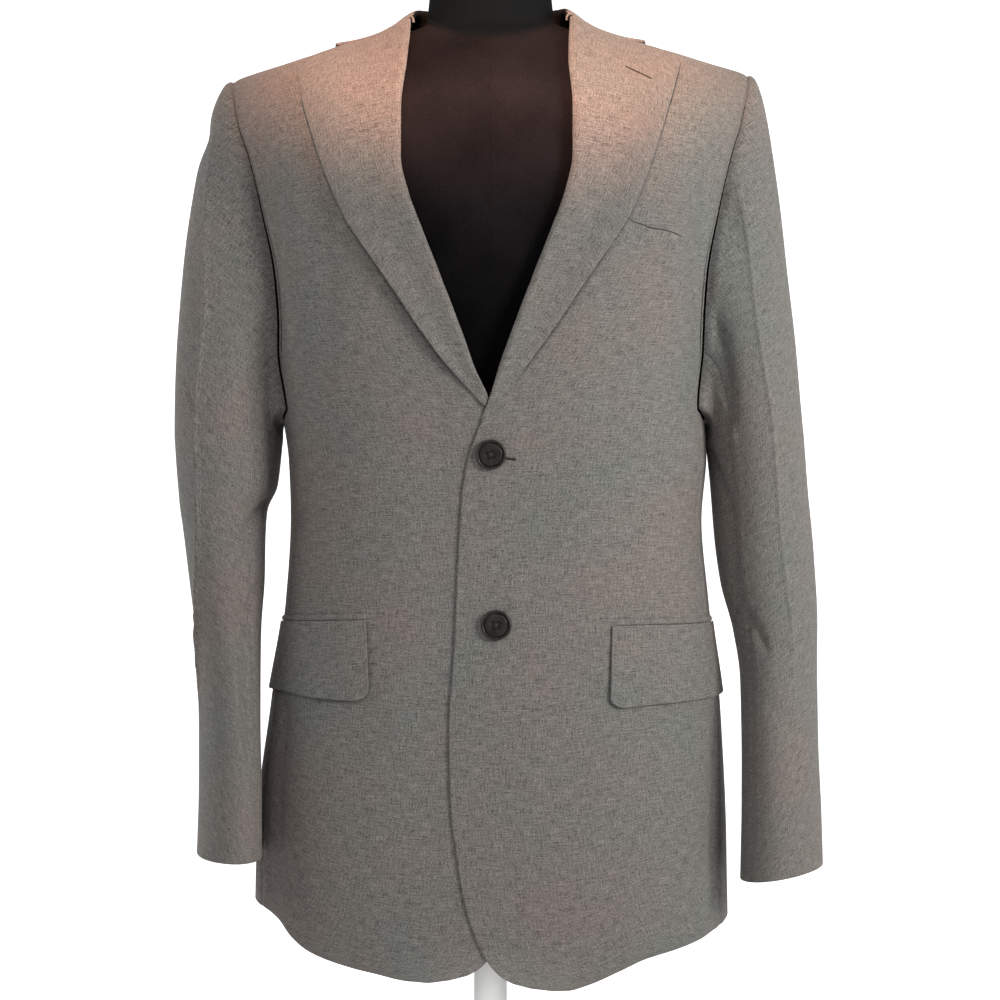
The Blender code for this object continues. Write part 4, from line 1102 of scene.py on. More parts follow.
def sew_flap(side):
    """A pocket flap with a round front corner, and the jet over it."""
    flap = FLAPS[side]
    sign = SIGN[side]
    start = np.abs(angle_at(sign * flap.reach, flap.top))
    long = np.radians(flap.end - start) * FLAP_BEND_RADIUS
    across = places_along(long, GRID["flap"][0]) / long
    angles = start + (flap.end - start) * across
    climb = (places_along(FLAP_HEIGHT, GRID["flap"][1]) / FLAP_HEIGHT)[:, None]
    reach = np.radians(angles - start) * FLAP_BEND_RADIUS
    corner = FLAP_CORNER * (1 - np.sqrt(np.clip(1 - (1 - reach / FLAP_CORNER) ** 2, 0.0, 1.0)))
    round_off = np.where(reach < FLAP_CORNER, corner, 0.0)
    bottom = flap.bottom + round_off * 0.9 - flap.sag * across
    top = flap.top - flap.fall * across
    levels = bottom + (top - bottom) * climb
    angles = sign * (angles - flap.lean * (1 - climb) * (1 - across))
    lift = FLAP_LIFT + FLAP_WALL + FLAP_FLARE * (1 - climb) ** 1.5
    points = cloth_point(angles, levels, lift)
    sew(f"wool_flap_{side}", f"flap_{side}", points, outward(angles, levels),
        (), FLAP_WALL)
    rise = places_along(JET_HEIGHT, GRID["jet"][1])[:, None]
    levels = levels[-1] + JET_GAP + rise
    angles = np.broadcast_to(angles[-1], levels.shape)
    bulge = JET_BULGE * np.sin(np.pi * rise / JET_HEIGHT)
    lift = (FLAP_LIFT + JET_WALL + bulge) * ease(1 - across, 0.0, 0.12) * ease(across, 0.0, 0.05)
    lift = lift - JET_SINK * ease(across, 0.93, 1.0)
    points = cloth_point(angles, levels, lift)
    sew(f"wool_jet_{side}", f"jet_{side}", points, outward(angles, levels), (), JET_WALL)


def sew_welt():
    """The breast pocket's welt on the wearer's left, as far as the lapel leaves it free, and a dark
    thread along its mouth as painted shadow of the opening.
    """
    columns, rows_up = GRID["breast_welt"]
    across = places_along(WELT_LENGTH, columns) / WELT_LENGTH
    climb = (places_along(WELT_HEIGHT, rows_up) / WELT_HEIGHT)[:, None]
    near = read(LAPEL_EDGE, "reach", MOUTH[0].level)
    mouth = near + (WELT_END - near) * across
    top = read(MOUTH, "level", mouth)
    levels = top - WELT_HEIGHT * (1 - climb)
    near = read(LAPEL_EDGE, "reach", levels) + 0.0012
    reach = near + (WELT_END - near) * across
    angles = front_angle("left", reach, levels)
    raised = ease(climb, 0.0, 0.8) * ease(1 - across, 0.0, 0.15)
    points = cloth_point(angles, levels, WELT_LIFT * raised - WELT_SINK)
    sew("wool_breast_welt", "breast_welt", points, outward(angles, levels),
        (), WELT_WALL)
    # A thin dark thread over the welt's top edge, painted shadow of the pocket's opening.
    rim = top + 0.0006
    angles = front_angle("left", mouth, rim)
    line = line_of(cloth_point(angles, rim, MOUTH_LIFT), outward(angles, rim))
    add_ribbon("pocket_mouth", line, False, *MOUTH_SHADOW_SIZE, "dark_thread", "wool")


# Buttons and buttonholes.

def to_axis(outline):
    """An outline of (radius, height) carried flat to the axis at both ends."""
    return [(0.0, outline[0][1]), *outline, (0.0, outline[-1][1])]


def turned(outline, segments):
    """A bmesh turned round Z from an outline of (radius, height) that starts and ends on Z."""
    shape = bmesh.new()
    verts = [shape.verts.new((radius, 0.0, height)) for radius, height in outline]
    edges = [shape.edges.new(pair) for pair in zip(verts, verts[1:])]
    bmesh.ops.spin(shape, geom=verts + edges, axis=(0, 0, 1), cent=(0, 0, 0),
                   steps=segments, angle=2 * np.pi, use_merge=True)
    bmesh.ops.remove_doubles(shape, verts=shape.verts, dist=1e-6)
    return shape


def apply_modifiers(thing):
    """Make a piece's evaluated mesh its own, and drop its modifiers."""
    deps = bpy.context.evaluated_depsgraph_get()
    mesh = bpy.data.meshes.new_from_object(thing.evaluated_get(deps))
    thing.modifiers.clear()
    thing.data = mesh


def faces_of(*names):
    """Ray tree of finished pieces."""
    points, faces = [], []
    for name in names:
        mesh = bpy.data.objects[name].data
        faces.extend([index + len(points) for index in face.vertices] for face in mesh.polygons)
        points.extend(vert.co.copy() for vert in mesh.vertices)
    return BVHTree.FromPolygons(points, faces)


def seat(tree, x, z, turn=0.0):
    """Matrix of a place on the cloth, found from the front: Z out of it, X to the wearer's left."""
    point, normal = cast(tree, Vector((x, -1.0, z)), Vector((0.0, 1.0, 0.0)))
    across = (Vector((1.0, 0.0, 0.0)) - normal * normal.x).normalized()
    matrix = Matrix((across, normal.cross(across), normal)).transposed().to_4x4()
    return Matrix.Translation(point) @ matrix @ Matrix.Rotation(np.radians(turn), 4, "Z")


def add_strands(shape, strands, radius, half_length, height):
    """Round strands of thread over the middle of a button, each at a height and a direction."""
    for z, direction in strands:
        matrix = (Matrix.Translation((0.0, 0.0, z)) @ Matrix.Rotation(direction, 4, "Z")
                  @ Matrix.Diagonal((half_length, radius, height, 1.0)))
        bmesh.ops.create_icosphere(shape, subdivisions=2, radius=1.0, matrix=matrix)


def make_button(button):
    """One horn button with a raised rim and four holes, and its thread."""
    settings = bpy.context.scene.blazer_buttons
    radius, thick = settings.radius, settings.thickness
    outline = [(radius * out, thick * up) for out, up in BUTTON_OUTLINE]
    body = add_object(f"{button.name}_horn", turned(outline, 72), "dark_horn")
    drills = bmesh.new()
    spots = [(settings.hole_spread * i, settings.hole_spread * j) for i in (-1, 1) for j in (-1, 1)]
    for x, y in spots:
        bmesh.ops.create_cone(
            drills, cap_ends=True, segments=20, radius1=settings.hole,
            radius2=settings.hole * 1.25, depth=thick * 3, matrix=Matrix.Translation((x, y, 0.0)))
    cutter = add_object("hole_cutter", drills, "dark_horn")
    cut = body.modifiers.new("holes", "BOOLEAN")
    cut.operation = "DIFFERENCE"
    cut.object = cutter
    apply_modifiers(body)
    bpy.data.objects.remove(cutter)
    tree = faces_of("wool_front_left")
    matrix = seat(tree, button.x, button.z, button.turn)
    matrix = matrix @ Matrix.Translation((0.0, 0.0, BUTTON_LIFT))
    body.data.transform(matrix)
    body.data.set_sharp_from_angle(angle=np.radians(50.0))
    finish_piece(body, "horn", button.name)
    thread = bmesh.new()
    reach = settings.hole_spread * np.sqrt(2.0)
    top = thick * 0.60 + 0.0003
    strands = [(top + 0.0002 * k, angle) for k, angle in enumerate((np.pi / 4, -np.pi / 4))]
    add_strands(thread, strands, 0.00042, reach + settings.hole * 0.5, 0.00032)
    for x, y in spots:
        bmesh.ops.create_cone(
            thread, cap_ends=True, segments=10, radius1=0.0005, radius2=0.0005, depth=top,
            matrix=Matrix.Translation((x, y, top / 2)))
    sewn = add_object(f"{button.name}_thread", thread, "dark_thread")
    sewn.data.transform(matrix)
    finish_piece(sewn, "horn")


def add_stitch(shape, base, place, size):
    """One small round stitch at a place of a seat."""
    matrix = base @ Matrix.Translation(place) @ Matrix.Diagonal((*size, 1.0))
    bmesh.ops.create_icosphere(shape, subdivisions=1, radius=1.0, matrix=matrix)


def make_hole(hole):
    """A buttonhole: a slit of painted shade between rows of close stitches, with a bar at each end.
    """
    tree = faces_of("wool_front_left", "wool_lapel_left")
    start = np.array([hole.x, hole.z])
    run = np.array([hole.end_x, hole.end_z]) - start
    rim, slit = bmesh.new(), bmesh.new()
    wide = hole.half_width
    for part in np.linspace(0.0, 1.0, 40):
        base = seat(tree, *(start + run * part))
        base = base @ Matrix.Rotation(slope_in(base, run), 4, "Z")
        for side in (-1.0, 1.0):
            aside = (0.0, side * wide * 0.62, 0.0001)
            add_stitch(rim, base, aside, (0.00034, wide * 0.55, 0.00030))
        # The slit's near-black cloth is painted shade of the gap between the stitch rows.
        add_stitch(slit, base, (0.0, 0.0, 0.0001), (0.00060, wide * 0.30, 0.00034))
        if part in (0.0, 1.0):
            add_stitch(rim, base, (0.0, 0.0, 0.0001), (0.00045, wide * 1.4, 0.00036))
    finish_piece(add_object(hole.name, rim, "dark_thread"), "wool")
    finish_piece(add_object(f"{hole.name}_slit", slit, "dark_slit"), "wool")


def slope_in(base, run):
    """Turn about a seat's Z that lines its X up with a run given as x and height."""
    want = base.to_3x3().inverted() @ Vector((run[0], 0.0, run[1]))
    return np.arctan2(want.y, want.x)


# Form and stand.

def form_ring(level, turns):
    """One ring of the form, inside the cloth, with flat arm plates."""
    levels = np.full(turns.shape, level)
    inset = FORM_INSET + FORM_CHEST_INSET * ease(-levels, -0.84, -0.80)
    inset = inset + FORM_WAIST_INSET * ease(-levels, -0.62, -0.50)
    inset = inset + FORM_NECK_INSET * ease(-np.abs(skin(turns, levels)[:, 0]), -0.13, -0.085)
    points = skin(turns, levels)
    points = points - outward(turns, levels) * inset[:, None]
    points[:, 0] = np.clip(points[:, 0], -FORM_ARM_PLATE, FORM_ARM_PLATE)
    return points


def make_form():
    """The limbless dress form: torso and neck under one smooth skin of jersey."""
    levels = np.concatenate([np.linspace(0.03, BEND, 60)[:-1], np.linspace(BEND, 0.853, 50)])
    quarter = np.linspace(0.0, 80.0, 33)
    front = np.concatenate([-quarter[:0:-1], quarter])
    turns = np.concatenate([front, [90.0], 180.0 - front[::-1], [270.0]])
    shape = bmesh.new()
    rings = [form_ring(level, turns) for level in levels]
    rings[0][:, 2] = HEM_HEIGHT + FORM_BOTTOM + 0.0005
    rings[0][:, :2] *= 0.965
    loop = [shape.verts.new(point) for point in rings[0]]
    edges = loop_edges(shape, loop)
    bmesh.ops.contextual_create(shape, geom=edges)
    for ring in rings[1:]:
        pulled = bmesh.ops.extrude_edge_only(shape, edges=edges)["geom"]
        new_verts = verts_in(pulled)
        by_place = {tuple(round(c, 7) for c in vert.co): vert for vert in new_verts}
        fresh = [by_place[tuple(round(c, 7) for c in old.co)] for old in loop]
        for vert, point in zip(fresh, ring):
            vert.co = point
        edges = [item for item in pulled if isinstance(item, bmesh.types.BMEdge)
                 and item.verts[0] in new_verts and item.verts[1] in new_verts]
        loop = fresh
    bmesh.ops.contextual_create(shape, geom=edges)
    bmesh.ops.triangulate(shape, faces=[face for face in shape.faces if len(face.verts) > 4])
    torso = add_object("form_body", shape, "ribbed_jersey")
    outline = [(NECK_RADIUS + wider, height) for wider, height in NECK_OUTLINE]
    neck_shape = turned(to_axis(outline), 64)
    bmesh.ops.translate(neck_shape, vec=(0.0, NECK_CENTRE_Y, HEM_HEIGHT), verts=neck_shape.verts)
    neck = add_object("form_neck", neck_shape, "ribbed_jersey")
    join = torso.modifiers.new("neck", "BOOLEAN")
    join.operation = "UNION"
    join.object = neck
    fine = torso.modifiers.new("skin", "REMESH")
    fine.mode = "VOXEL"
    fine.voxel_size = FORM_VOXEL
    soft = torso.modifiers.new("soft", "SMOOTH")
    soft.factor = 0.5
    soft.iterations = 6
    apply_modifiers(torso)
    bpy.data.objects.remove(neck)
    torso.data.shade_smooth()
    finish_piece(torso, "black_jersey", "form")
    sew_form_seams(torso)


def sew_form_seams(form):
    """Thin raised seams of the form's cover: centre front, centre back and round the neck."""
    mesh = form.data
    tree = BVHTree.FromPolygons(
        [vert.co.copy() for vert in mesh.vertices], [face.vertices[:] for face in mesh.polygons])
    ring = []
    for turn in np.linspace(0.0, 2 * np.pi, 97)[:-1]:
        x, y = np.sin(turn), -np.cos(turn)
        slope = NECK_SEAM.slope * (NECK_CENTRE_Y + NECK_RADIUS * y)
        z = NECK_SEAM.height + (slope + NECK_SEAM.bend * (NECK_RADIUS * x) ** 2)
        ring.append(cast(tree, Vector((0.0, NECK_CENTRE_Y, z)), Vector((x, y, 0.0))))
    add_ribbon("form_seam_neck", ring, True, *NECK_CORD, "ribbed_jersey", "black_jersey")
    for name, way, top in (("front", 1.0, 0.770), ("back", -1.0, 0.786)):
        heights = HEM_HEIGHT + np.linspace(FORM_BOTTOM + 0.008, top, 120)
        inward = Vector((0.0, way, 0.0))
        line = [cast(tree, Vector((0.0008, -0.5 * way, z)), inward) for z in heights]
        add_ribbon(f"form_seam_{name}", line, False, *FORM_CORD, "ribbed_jersey", "black_jersey")


def cast(tree, origin, direction):
    """Point and outward normal where a ray meets a surface."""
    return tree.ray_cast(origin, direction)[:2]


def add_ribbon(name, line, closed, width, height, material, slot):
    """A thin round ribbon along a line of points and normals."""
    section = [(np.cos(a) * width, np.sin(a) * height) for a in np.linspace(0, 2 * np.pi, 9)[:-1]]
    shape = bmesh.new()
    rings = []
    count = len(line)
    for index, (point, normal) in enumerate(line):
        ahead = line[(index + 1) % count][0] if closed or index + 1 < count else point
        behind = line[index - 1][0] if closed or index else point
        side = (ahead - behind).cross(normal).normalized()
        rings.append([shape.verts.new(point + side * u + normal * v) for u, v in section])
    edges = [loop_edges(shape, ring) for ring in rings]
    pairs = list(zip(edges, edges[1:])) + ([(edges[-1], edges[0])] if closed else [])
    for low, high in pairs:
        bmesh.ops.bridge_loops(shape, edges=low + high)
    if not closed:
        for end in (edges[0], edges[-1]):
            bmesh.ops.contextual_create(shape, geom=end)
    thing = add_object(name, shape, material)
    mesh = thing.data
    layer = mesh.uv_layers.new(name="weave")
    for loop in mesh.loops:
        x, y, z = mesh.vertices[loop.vertex_index].co
        layer.data[loop.index].uv = (x - y, z)
    finish_piece(thing, slot)


def stand_outlines():
    """Outlines of the stand's three pieces, with softened edges, from their boxes."""
    boxes = {name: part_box(name) for name in ("pole", "socket", "base")}
    low = {name: box[0].z for name, box in boxes.items()}
    high = {name: box[1].z for name, box in boxes.items()}
    wide = {name: box[1].x for name, box in boxes.items()}
    return {
        "pole": (
            (wide["pole"], low["pole"]), (wide["pole"], high["pole"] - 0.001),
            (wide["pole"] - 0.001, high["pole"]),
        ),
        "socket": (
            (wide["socket"] - 0.001, low["socket"]), (wide["socket"], low["socket"] + 0.0015),
            (0.0300, low["socket"] + 0.0050), (0.0260, low["socket"] + 0.0130),
            (0.0228, low["socket"] + 0.0240), (0.0222, high["socket"] - 0.0012),
            (0.0210, high["socket"]),
        ),
        "base": (
            (wide["base"] - 0.002, 0.0), (wide["base"], 0.002),
            (wide["base"], high["base"] - 0.0045), (wide["base"] - 0.0009, high["base"] - 0.0018),
            (wide["base"] - 0.0030, high["base"] - 0.0004), (wide["base"] - 0.006, high["base"]),
        ),
    }


def make_stand():
    """The enamelled pole, its socket and the round base."""
    for name, outline in stand_outlines().items():
        thing = add_object(f"enamel_{name}", turned(to_axis(outline), 96), "enamel_paint")
        thing.data.set_sharp_from_angle(angle=np.radians(45.0))
        finish_piece(thing, "white_enamel", name)


# Materials.

def feed(tree, made, inputs):
    """Set a node's inputs to values, or link outputs to them."""
    for key, value in inputs.items():
        if isinstance(value, bpy.types.NodeSocket):
            tree.links.new(value, made.inputs[key])
        else:
            made.inputs[key].default_value = value


def node(tree, kind, place, inputs=None, **settings):
    """Add a shader node at a grid place, with its properties set and its inputs fed."""
    made = tree.nodes.new(kind)
    made.location = (place[0] * NODE_GRID[0], -place[1] * NODE_GRID[1])
    for key, value in settings.items():
        setattr(made, key, value)
    feed(tree, made, inputs or {})
    return made


def math(tree, operation, place, *values):
    """The output of a Math node whose inputs are set or linked."""
    inputs = dict(enumerate(values))
    return node(tree, "ShaderNodeMath", place, inputs, operation=operation).outputs[0]


def mix(tree, place, factor, first, second, **settings):
    """The output of a Mix node for colours."""
    inputs = {"Factor": factor, "A": first, "B": second}
    made = node(tree, "ShaderNodeMix", place, inputs, data_type="RGBA", **settings)
    return made.outputs["Result"]


def mapped(tree, place, value, **ends):
    """A value mapped between ranges, by from_min, from_max, to_min and to_max where not 0 and 1."""
    inputs = {key.replace("_", " ").title(): end for key, end in ends.items()}
    return node(tree, "ShaderNodeMapRange", place, {"Value": value, **inputs}).outputs["Result"]


def noise(tree, place, source, **inputs):
    """The value of a Noise texture with its Scale, Detail and other inputs."""
    return node(tree, "ShaderNodeTexNoise", place, {"Vector": source, **inputs}).outputs["Fac"]


def ramp(tree, place, share, low, high):
    """A colour between two stops, each a position and a colour."""
    made = node(tree, "ShaderNodeValToRGB", place, {"Fac": share})
    for stop, (position, colour) in zip((0, 1), (low, high)):
        made.color_ramp.elements[stop].position = position
        made.color_ramp.elements[stop].color = opaque(colour)
    return made.outputs["Color"]


def opaque(colour):
    """A colour with full alpha."""
    return (*colour, 1.0)


def object_place(tree, place):
    """The place of a shaded point in the object, in metres."""
    return node(tree, "ShaderNodeTexCoord", place).outputs["Object"]


def split_axes(tree, place, source):
    """The three coordinates of a place."""
    return tuple(node(tree, "ShaderNodeSeparateXYZ", place, {0: source}).outputs)


def add_bump(tree, shader, height, place, distance, strength):
    """Link a height to the shader's normal."""
    inputs = {"Height": height, "Distance": distance, "Strength": strength}
    feed(tree, shader, {"Normal": node(tree, "ShaderNodeBump", place, inputs).outputs["Normal"]})


def new_group(name, inputs, outputs):
    """A node group with typed inputs and outputs, the values of its inputs, and its end node."""
    group = bpy.data.node_groups.new(name, "ShaderNodeTree")
    for label, kind, value in inputs:
        socket = group.interface.new_socket(label, in_out="INPUT", socket_type=kind)
        if value is not None:
            socket.default_value = value
    for label, kind in outputs:
        group.interface.new_socket(label, in_out="OUTPUT", socket_type=kind)
    start = node(group, "NodeGroupInput", (-6, 0))
    return group, start.outputs, node(group, "NodeGroupOutput", (8, 0))


def thread_noise(tree, source, place, across, up, seed):
    """Noise drawn out along one thread: across and up are its sizes in metres."""
    column, row = place
    size = {0: source, 1: (1.0 / across, 1.0 / up, 0.0)}
    scaled = node(tree, "ShaderNodeVectorMath", place, size, operation="MULTIPLY")
    shift = {0: scaled.outputs[0], 1: (seed, seed * 0.7, seed)}
    moved = node(tree, "ShaderNodeVectorMath", (column + 1, row), shift, operation="ADD")
    return noise(tree, (column + 2, row), moved.outputs[0], Scale=1.0, Detail=1.0)


def weave_group():
    """Melange wool: slubby warp and weft threads, salt and pepper flecks, and their height."""
    if "Melange weave" in bpy.data.node_groups:
        return bpy.data.node_groups["Melange weave"]
    group, start, end = new_group(
        "Melange weave",
        (("Weave place", "NodeSocketVector", None), ("Light yarn", "NodeSocketColor", None),
         ("Dark yarn", "NodeSocketColor", None), ("Streaks", "NodeSocketFloat", 1.0),
         ("Flecks", "NodeSocketFloat", 1.0)),
        (("Colour", "NodeSocketColor"), ("Height", "NodeSocketFloat")))
    place = start["Weave place"]
    warp = thread_noise(group, place, (-5, 1), 0.0010, 0.0100, 3.0)
    weft = thread_noise(group, place, (-5, 2), 0.0120, 0.0010, 11.0)
    fleck = thread_noise(group, place, (-5, 3), 0.0013, 0.0012, 23.0)
    broad = thread_noise(group, place, (-5, 4), 0.0065, 0.0050, 37.0)
    streak = math(group, "ADD", (-1, 1), warp, weft)
    streak = math(group, "SUBTRACT", (0, 1), streak, 1.0)
    streak = math(group, "MULTIPLY", (1, 1), streak, start["Streaks"])
    speck = math(group, "SUBTRACT", (0, 3), fleck, 0.5)
    speck = math(group, "MULTIPLY", (1, 3), speck, start["Flecks"])
    cloud = math(group, "SUBTRACT", (0, 4), broad, 0.5)
    total = math(group, "ADD", (2, 1), streak, speck)
    total = math(group, "MULTIPLY_ADD", (3, 1), cloud, CLOUD_SHARE, total)
    share = math(group, "ADD", (4, 1), total, 0.5)
    share.node.use_clamp = True
    waves = []
    for row, axis in enumerate(split_axes(group, (-4, 6), place)[:2]):
        turn = math(group, "MULTIPLY", (-3, 6 + row), axis, 2 * np.pi / THREAD_PITCH)
        waves.append(math(group, "SINE", (-2, 6 + row), turn))
    weave = math(group, "MULTIPLY", (-1, 6), *waves)
    feed(group, end, {
        "Colour": mix(group, (5, 0), share, start["Dark yarn"], start["Light yarn"]),
        "Height": math(group, "MULTIPLY_ADD", (3, 6), weave, WEAVE_SHARE, total)})
    return group


def tint_group():
    """Slow drift of a cloth's colour between a rosy and a greenish grey."""
    if "Cloth tint" in bpy.data.node_groups:
        return bpy.data.node_groups["Cloth tint"]
    group, start, end = new_group(
        "Cloth tint",
        (("Colour", "NodeSocketColor", None), ("Place", "NodeSocketVector", None),
         ("Rosy", "NodeSocketColor", None), ("Greenish", "NodeSocketColor", None),
         ("Size", "NodeSocketFloat", 9.0)),
        (("Colour", "NodeSocketColor"),))
    drift = noise(group, (-4, 1), start["Place"], Scale=start["Size"], Detail=2.5, Roughness=0.55)
    share = mapped(group, (-2, 1), drift, from_min=0.36, from_max=0.64)
    tint = mix(group, (0, 1), share, start["Greenish"], start["Rosy"])
    tinted = mix(group, (3, 0), 1.0, start["Colour"], tint, blend_type="MULTIPLY")
    feed(group, end, {"Colour": tinted})
    return group


def look(name):
    """The material of this name, which its function in LOOKS dresses when it is first asked for."""
    if name not in bpy.data.materials:
        material = bpy.data.materials.new(name)
        material.use_nodes = True
        tree = material.node_tree
        shader = tree.nodes["Principled BSDF"]
        shader.location = (9 * NODE_GRID[0], 0)
        tree.nodes["Material Output"].location = (11 * NODE_GRID[0], 0)
        LOOKS[name](tree, shader)
    return bpy.data.materials[name]


def dress_wool(tree, shader):
    """Grey melange suiting in a fine plain weave, with a soft nap."""
    cloth = bpy.context.scene.blazer_cloth
    threads = node(tree, "ShaderNodeUVMap", (-2, 0), uv_map="weave")
    weave = node(tree, "ShaderNodeGroup", (1, 0), {
        "Weave place": threads.outputs["UV"], "Light yarn": opaque(cloth.light_yarn),
        "Dark yarn": opaque(cloth.dark_yarn), "Streaks": cloth.streaks, "Flecks": cloth.flecks,
    }, node_tree=weave_group()).outputs
    tint = node(tree, "ShaderNodeGroup", (4, 0), {
        "Place": object_place(tree, (0, 3)), "Colour": weave["Colour"],
        "Rosy": opaque(cloth.rosy), "Greenish": opaque(cloth.greenish),
    }, node_tree=tint_group()).outputs
    feed(tree, shader, {
        "Base Color": tint["Colour"], "Roughness": 0.88, "Specular IOR Level": 0.25,
        "Sheen Weight": 0.12, "Sheen Roughness": 0.45})
    add_bump(tree, shader, weave["Height"], (6, 3), 0.0004, 0.40)


def speckle(tree, shader, scale, dark, light):
    """Colour a material in fine specks between two tones, and return the specks."""
    specks = noise(tree, (2, 0), object_place(tree, (0, 0)), Scale=scale)
    feed(tree, shader, {"Base Color": ramp(tree, (4, 0), specks, (0.0, dark), (1.0, light))})
    return specks


def dress_collar_shade(tree, shader):
    """Near-black cloth on the collar's faces that turn to the neck: painted shade of the gap by the
    neck.
    """
    shade_speck = speckle(tree, shader, 800.0, (0.005, 0.005, 0.005), (0.016, 0.015, 0.014))
    feed(tree, shader, {"Roughness": 0.9, "Specular IOR Level": 0.1})
    add_bump(tree, shader, shade_speck, (6, 2), 0.0002, 0.5)


def dress_thread(tree, shader):
    """Dark sewing thread of buttons and buttonholes, also used as painted shadow along the breast
    pocket's mouth.
    """
    twist = speckle(tree, shader, 900.0, (0.022, 0.018, 0.015), (0.085, 0.070, 0.058))
    feed(tree, shader, {"Roughness": 0.8})
    add_bump(tree, shader, twist, (6, 2), 0.0002, 0.5)


def dress_slit_shade(tree, shader):
    """Near-black painted shade in the gap of a buttonhole."""
    speckle(tree, shader, 600.0, (0.006, 0.005, 0.005), (0.020, 0.017, 0.015))
    feed(tree, shader, {"Roughness": 0.95})


def dress_horn(tree, shader):
    """Dark brown horn with faint swirls and a soft polish."""
    buttons = bpy.context.scene.blazer_buttons
    place = object_place(tree, (0, 0))
    swirl = noise(tree, (2, 0), place, Scale=120.0, Detail=4.0, Distortion=1.6)
    feed(tree, shader, {
        "Base Color": ramp(tree, (4, 0), swirl, (0.35, buttons.dark), (0.70, buttons.light)),
        "Roughness": mapped(tree, (4, 2), swirl, to_min=0.30, to_max=0.48)})
    add_bump(tree, shader, swirl, (6, 3), 0.0002, 0.2)


def dress_jersey(tree, shader):
    """Black jersey of the form, with fine ribs and a little lint, and painted shade: darker towards
    the bottom, and darker and cooler above the neck seam.
    """
    form = bpy.context.scene.blazer_form
    place = object_place(tree, (-2, 0))
    lint = noise(tree, (0, 0), place, Scale=700.0, Detail=2.0)
    cloud = noise(tree, (0, 2), place, Scale=14.0, Detail=3.0)
    ribs = node(tree, "ShaderNodeTexWave", (0, 4), {
        "Vector": place, "Scale": 330.0, "Distortion": 0.6, "Detail Scale": 2.0,
    }, bands_direction="X")
    share = math(tree, "MULTIPLY_ADD", (2, 1), lint, 0.6, cloud)
    tone = ramp(tree, (4, 0), share, (0.55, form.dark), (1.0, form.light))
    x, y, z = split_axes(tree, (-1, 6), place)
    # Painted shade: the jersey darkens towards the bottom, where it lies inside the jacket.
    shade_by_height = mapped(tree, (2, 6), z, from_min=0.78, from_max=1.02, to_min=0.22)
    shaded_tone = node(tree, "ShaderNodeVectorMath", (5, 1), {0: tone, "Scale": shade_by_height}, operation="SCALE")
    # Painted shade above the neck seam: the same jersey, made darker and cooler there.
    bent = math(tree, "MULTIPLY", (0, 7), x, x)
    over = math(tree, "MULTIPLY_ADD", (1, 7), bent, -NECK_SEAM.bend, z)
    over = math(tree, "MULTIPLY_ADD", (2, 7), y, -NECK_SEAM.slope, over)
    above = mapped(tree, (3, 7), over,
                   from_min=NECK_SEAM.height - 0.004, from_max=NECK_SEAM.height + 0.002)
    feed(tree, shader, {
        "Base Color": mix(tree, (7, 0), above, shaded_tone.outputs[0], opaque(form.neck)),
        "Roughness": 0.95, "Specular IOR Level": 0.05})
    height = math(tree, "MULTIPLY_ADD", (3, 4), ribs.outputs["Fac"], 0.5, lint)
    add_bump(tree, shader, height, (6, 3), 0.0003, 0.35)


def dress_enamel(tree, shader):
    """White enamel with a faint orange peel and a little uneven grime."""
    place = object_place(tree, (-2, 0))
    grime = noise(tree, (0, 0), place, Scale=22.0, Detail=5.0)
    clean, grimy = (0.90, 0.90, 0.89), (0.80, 0.79, 0.77)
    feed(tree, shader, {
        "Base Color": ramp(tree, (2, 0), grime, (0.30, grimy), (0.55, clean)),
        "Roughness": mapped(tree, (2, 3), grime, to_min=0.26, to_max=0.42)})
    add_bump(tree, shader, noise(tree, (0, 2), place, Scale=420.0), (5, 3), 0.0002, 0.08)


def dress_paper(tree, shader):
    """Pale paper that glows towards the wall behind."""
    paper = bpy.context.scene.blazer_stage.paper
    place = object_place(tree, (0, 0))
    grain = noise(tree, (2, 0), place, Scale=60.0)
    _, y, _ = split_axes(tree, (2, 3), place)
    feed(tree, shader, {
        "Base Color": mix(tree, (5, 0), grain, opaque(paper), opaque([c * 0.985 for c in paper])),
        "Roughness": 1.0, "Specular IOR Level": 0.0, "Emission Color": (1.0, 1.0, 1.0, 1.0),
        "Emission Strength": mapped(tree, (4, 3), y, from_min=0.55, from_max=1.10, to_max=0.75)})


LOOKS = {
    "grey_wool": dress_wool,
    "black_lining": dress_collar_shade,
    "dark_thread": dress_thread,
    "dark_slit": dress_slit_shade,
    "dark_horn": dress_horn,
    "ribbed_jersey": dress_jersey,
    "enamel_paint": dress_enamel,
    "pale_paper": dress_paper,
}


# Stage.

def add_lamp(name, kind, place, target, energy, colour, **settings):
    """A lamp that points at a target."""
    lamp = bpy.data.lights.new(name, kind)
    lamp.energy = energy
    lamp.color = colour
    for key, value in settings.items():
        setattr(lamp, key, value)
    thing = bpy.data.objects.new(name, lamp)
    thing.location = place
    thing.rotation_euler = (Vector(target) - Vector(place)).to_track_quat("-Z", "Y").to_euler()
    bpy.context.collection.objects.link(thing)
    return thing


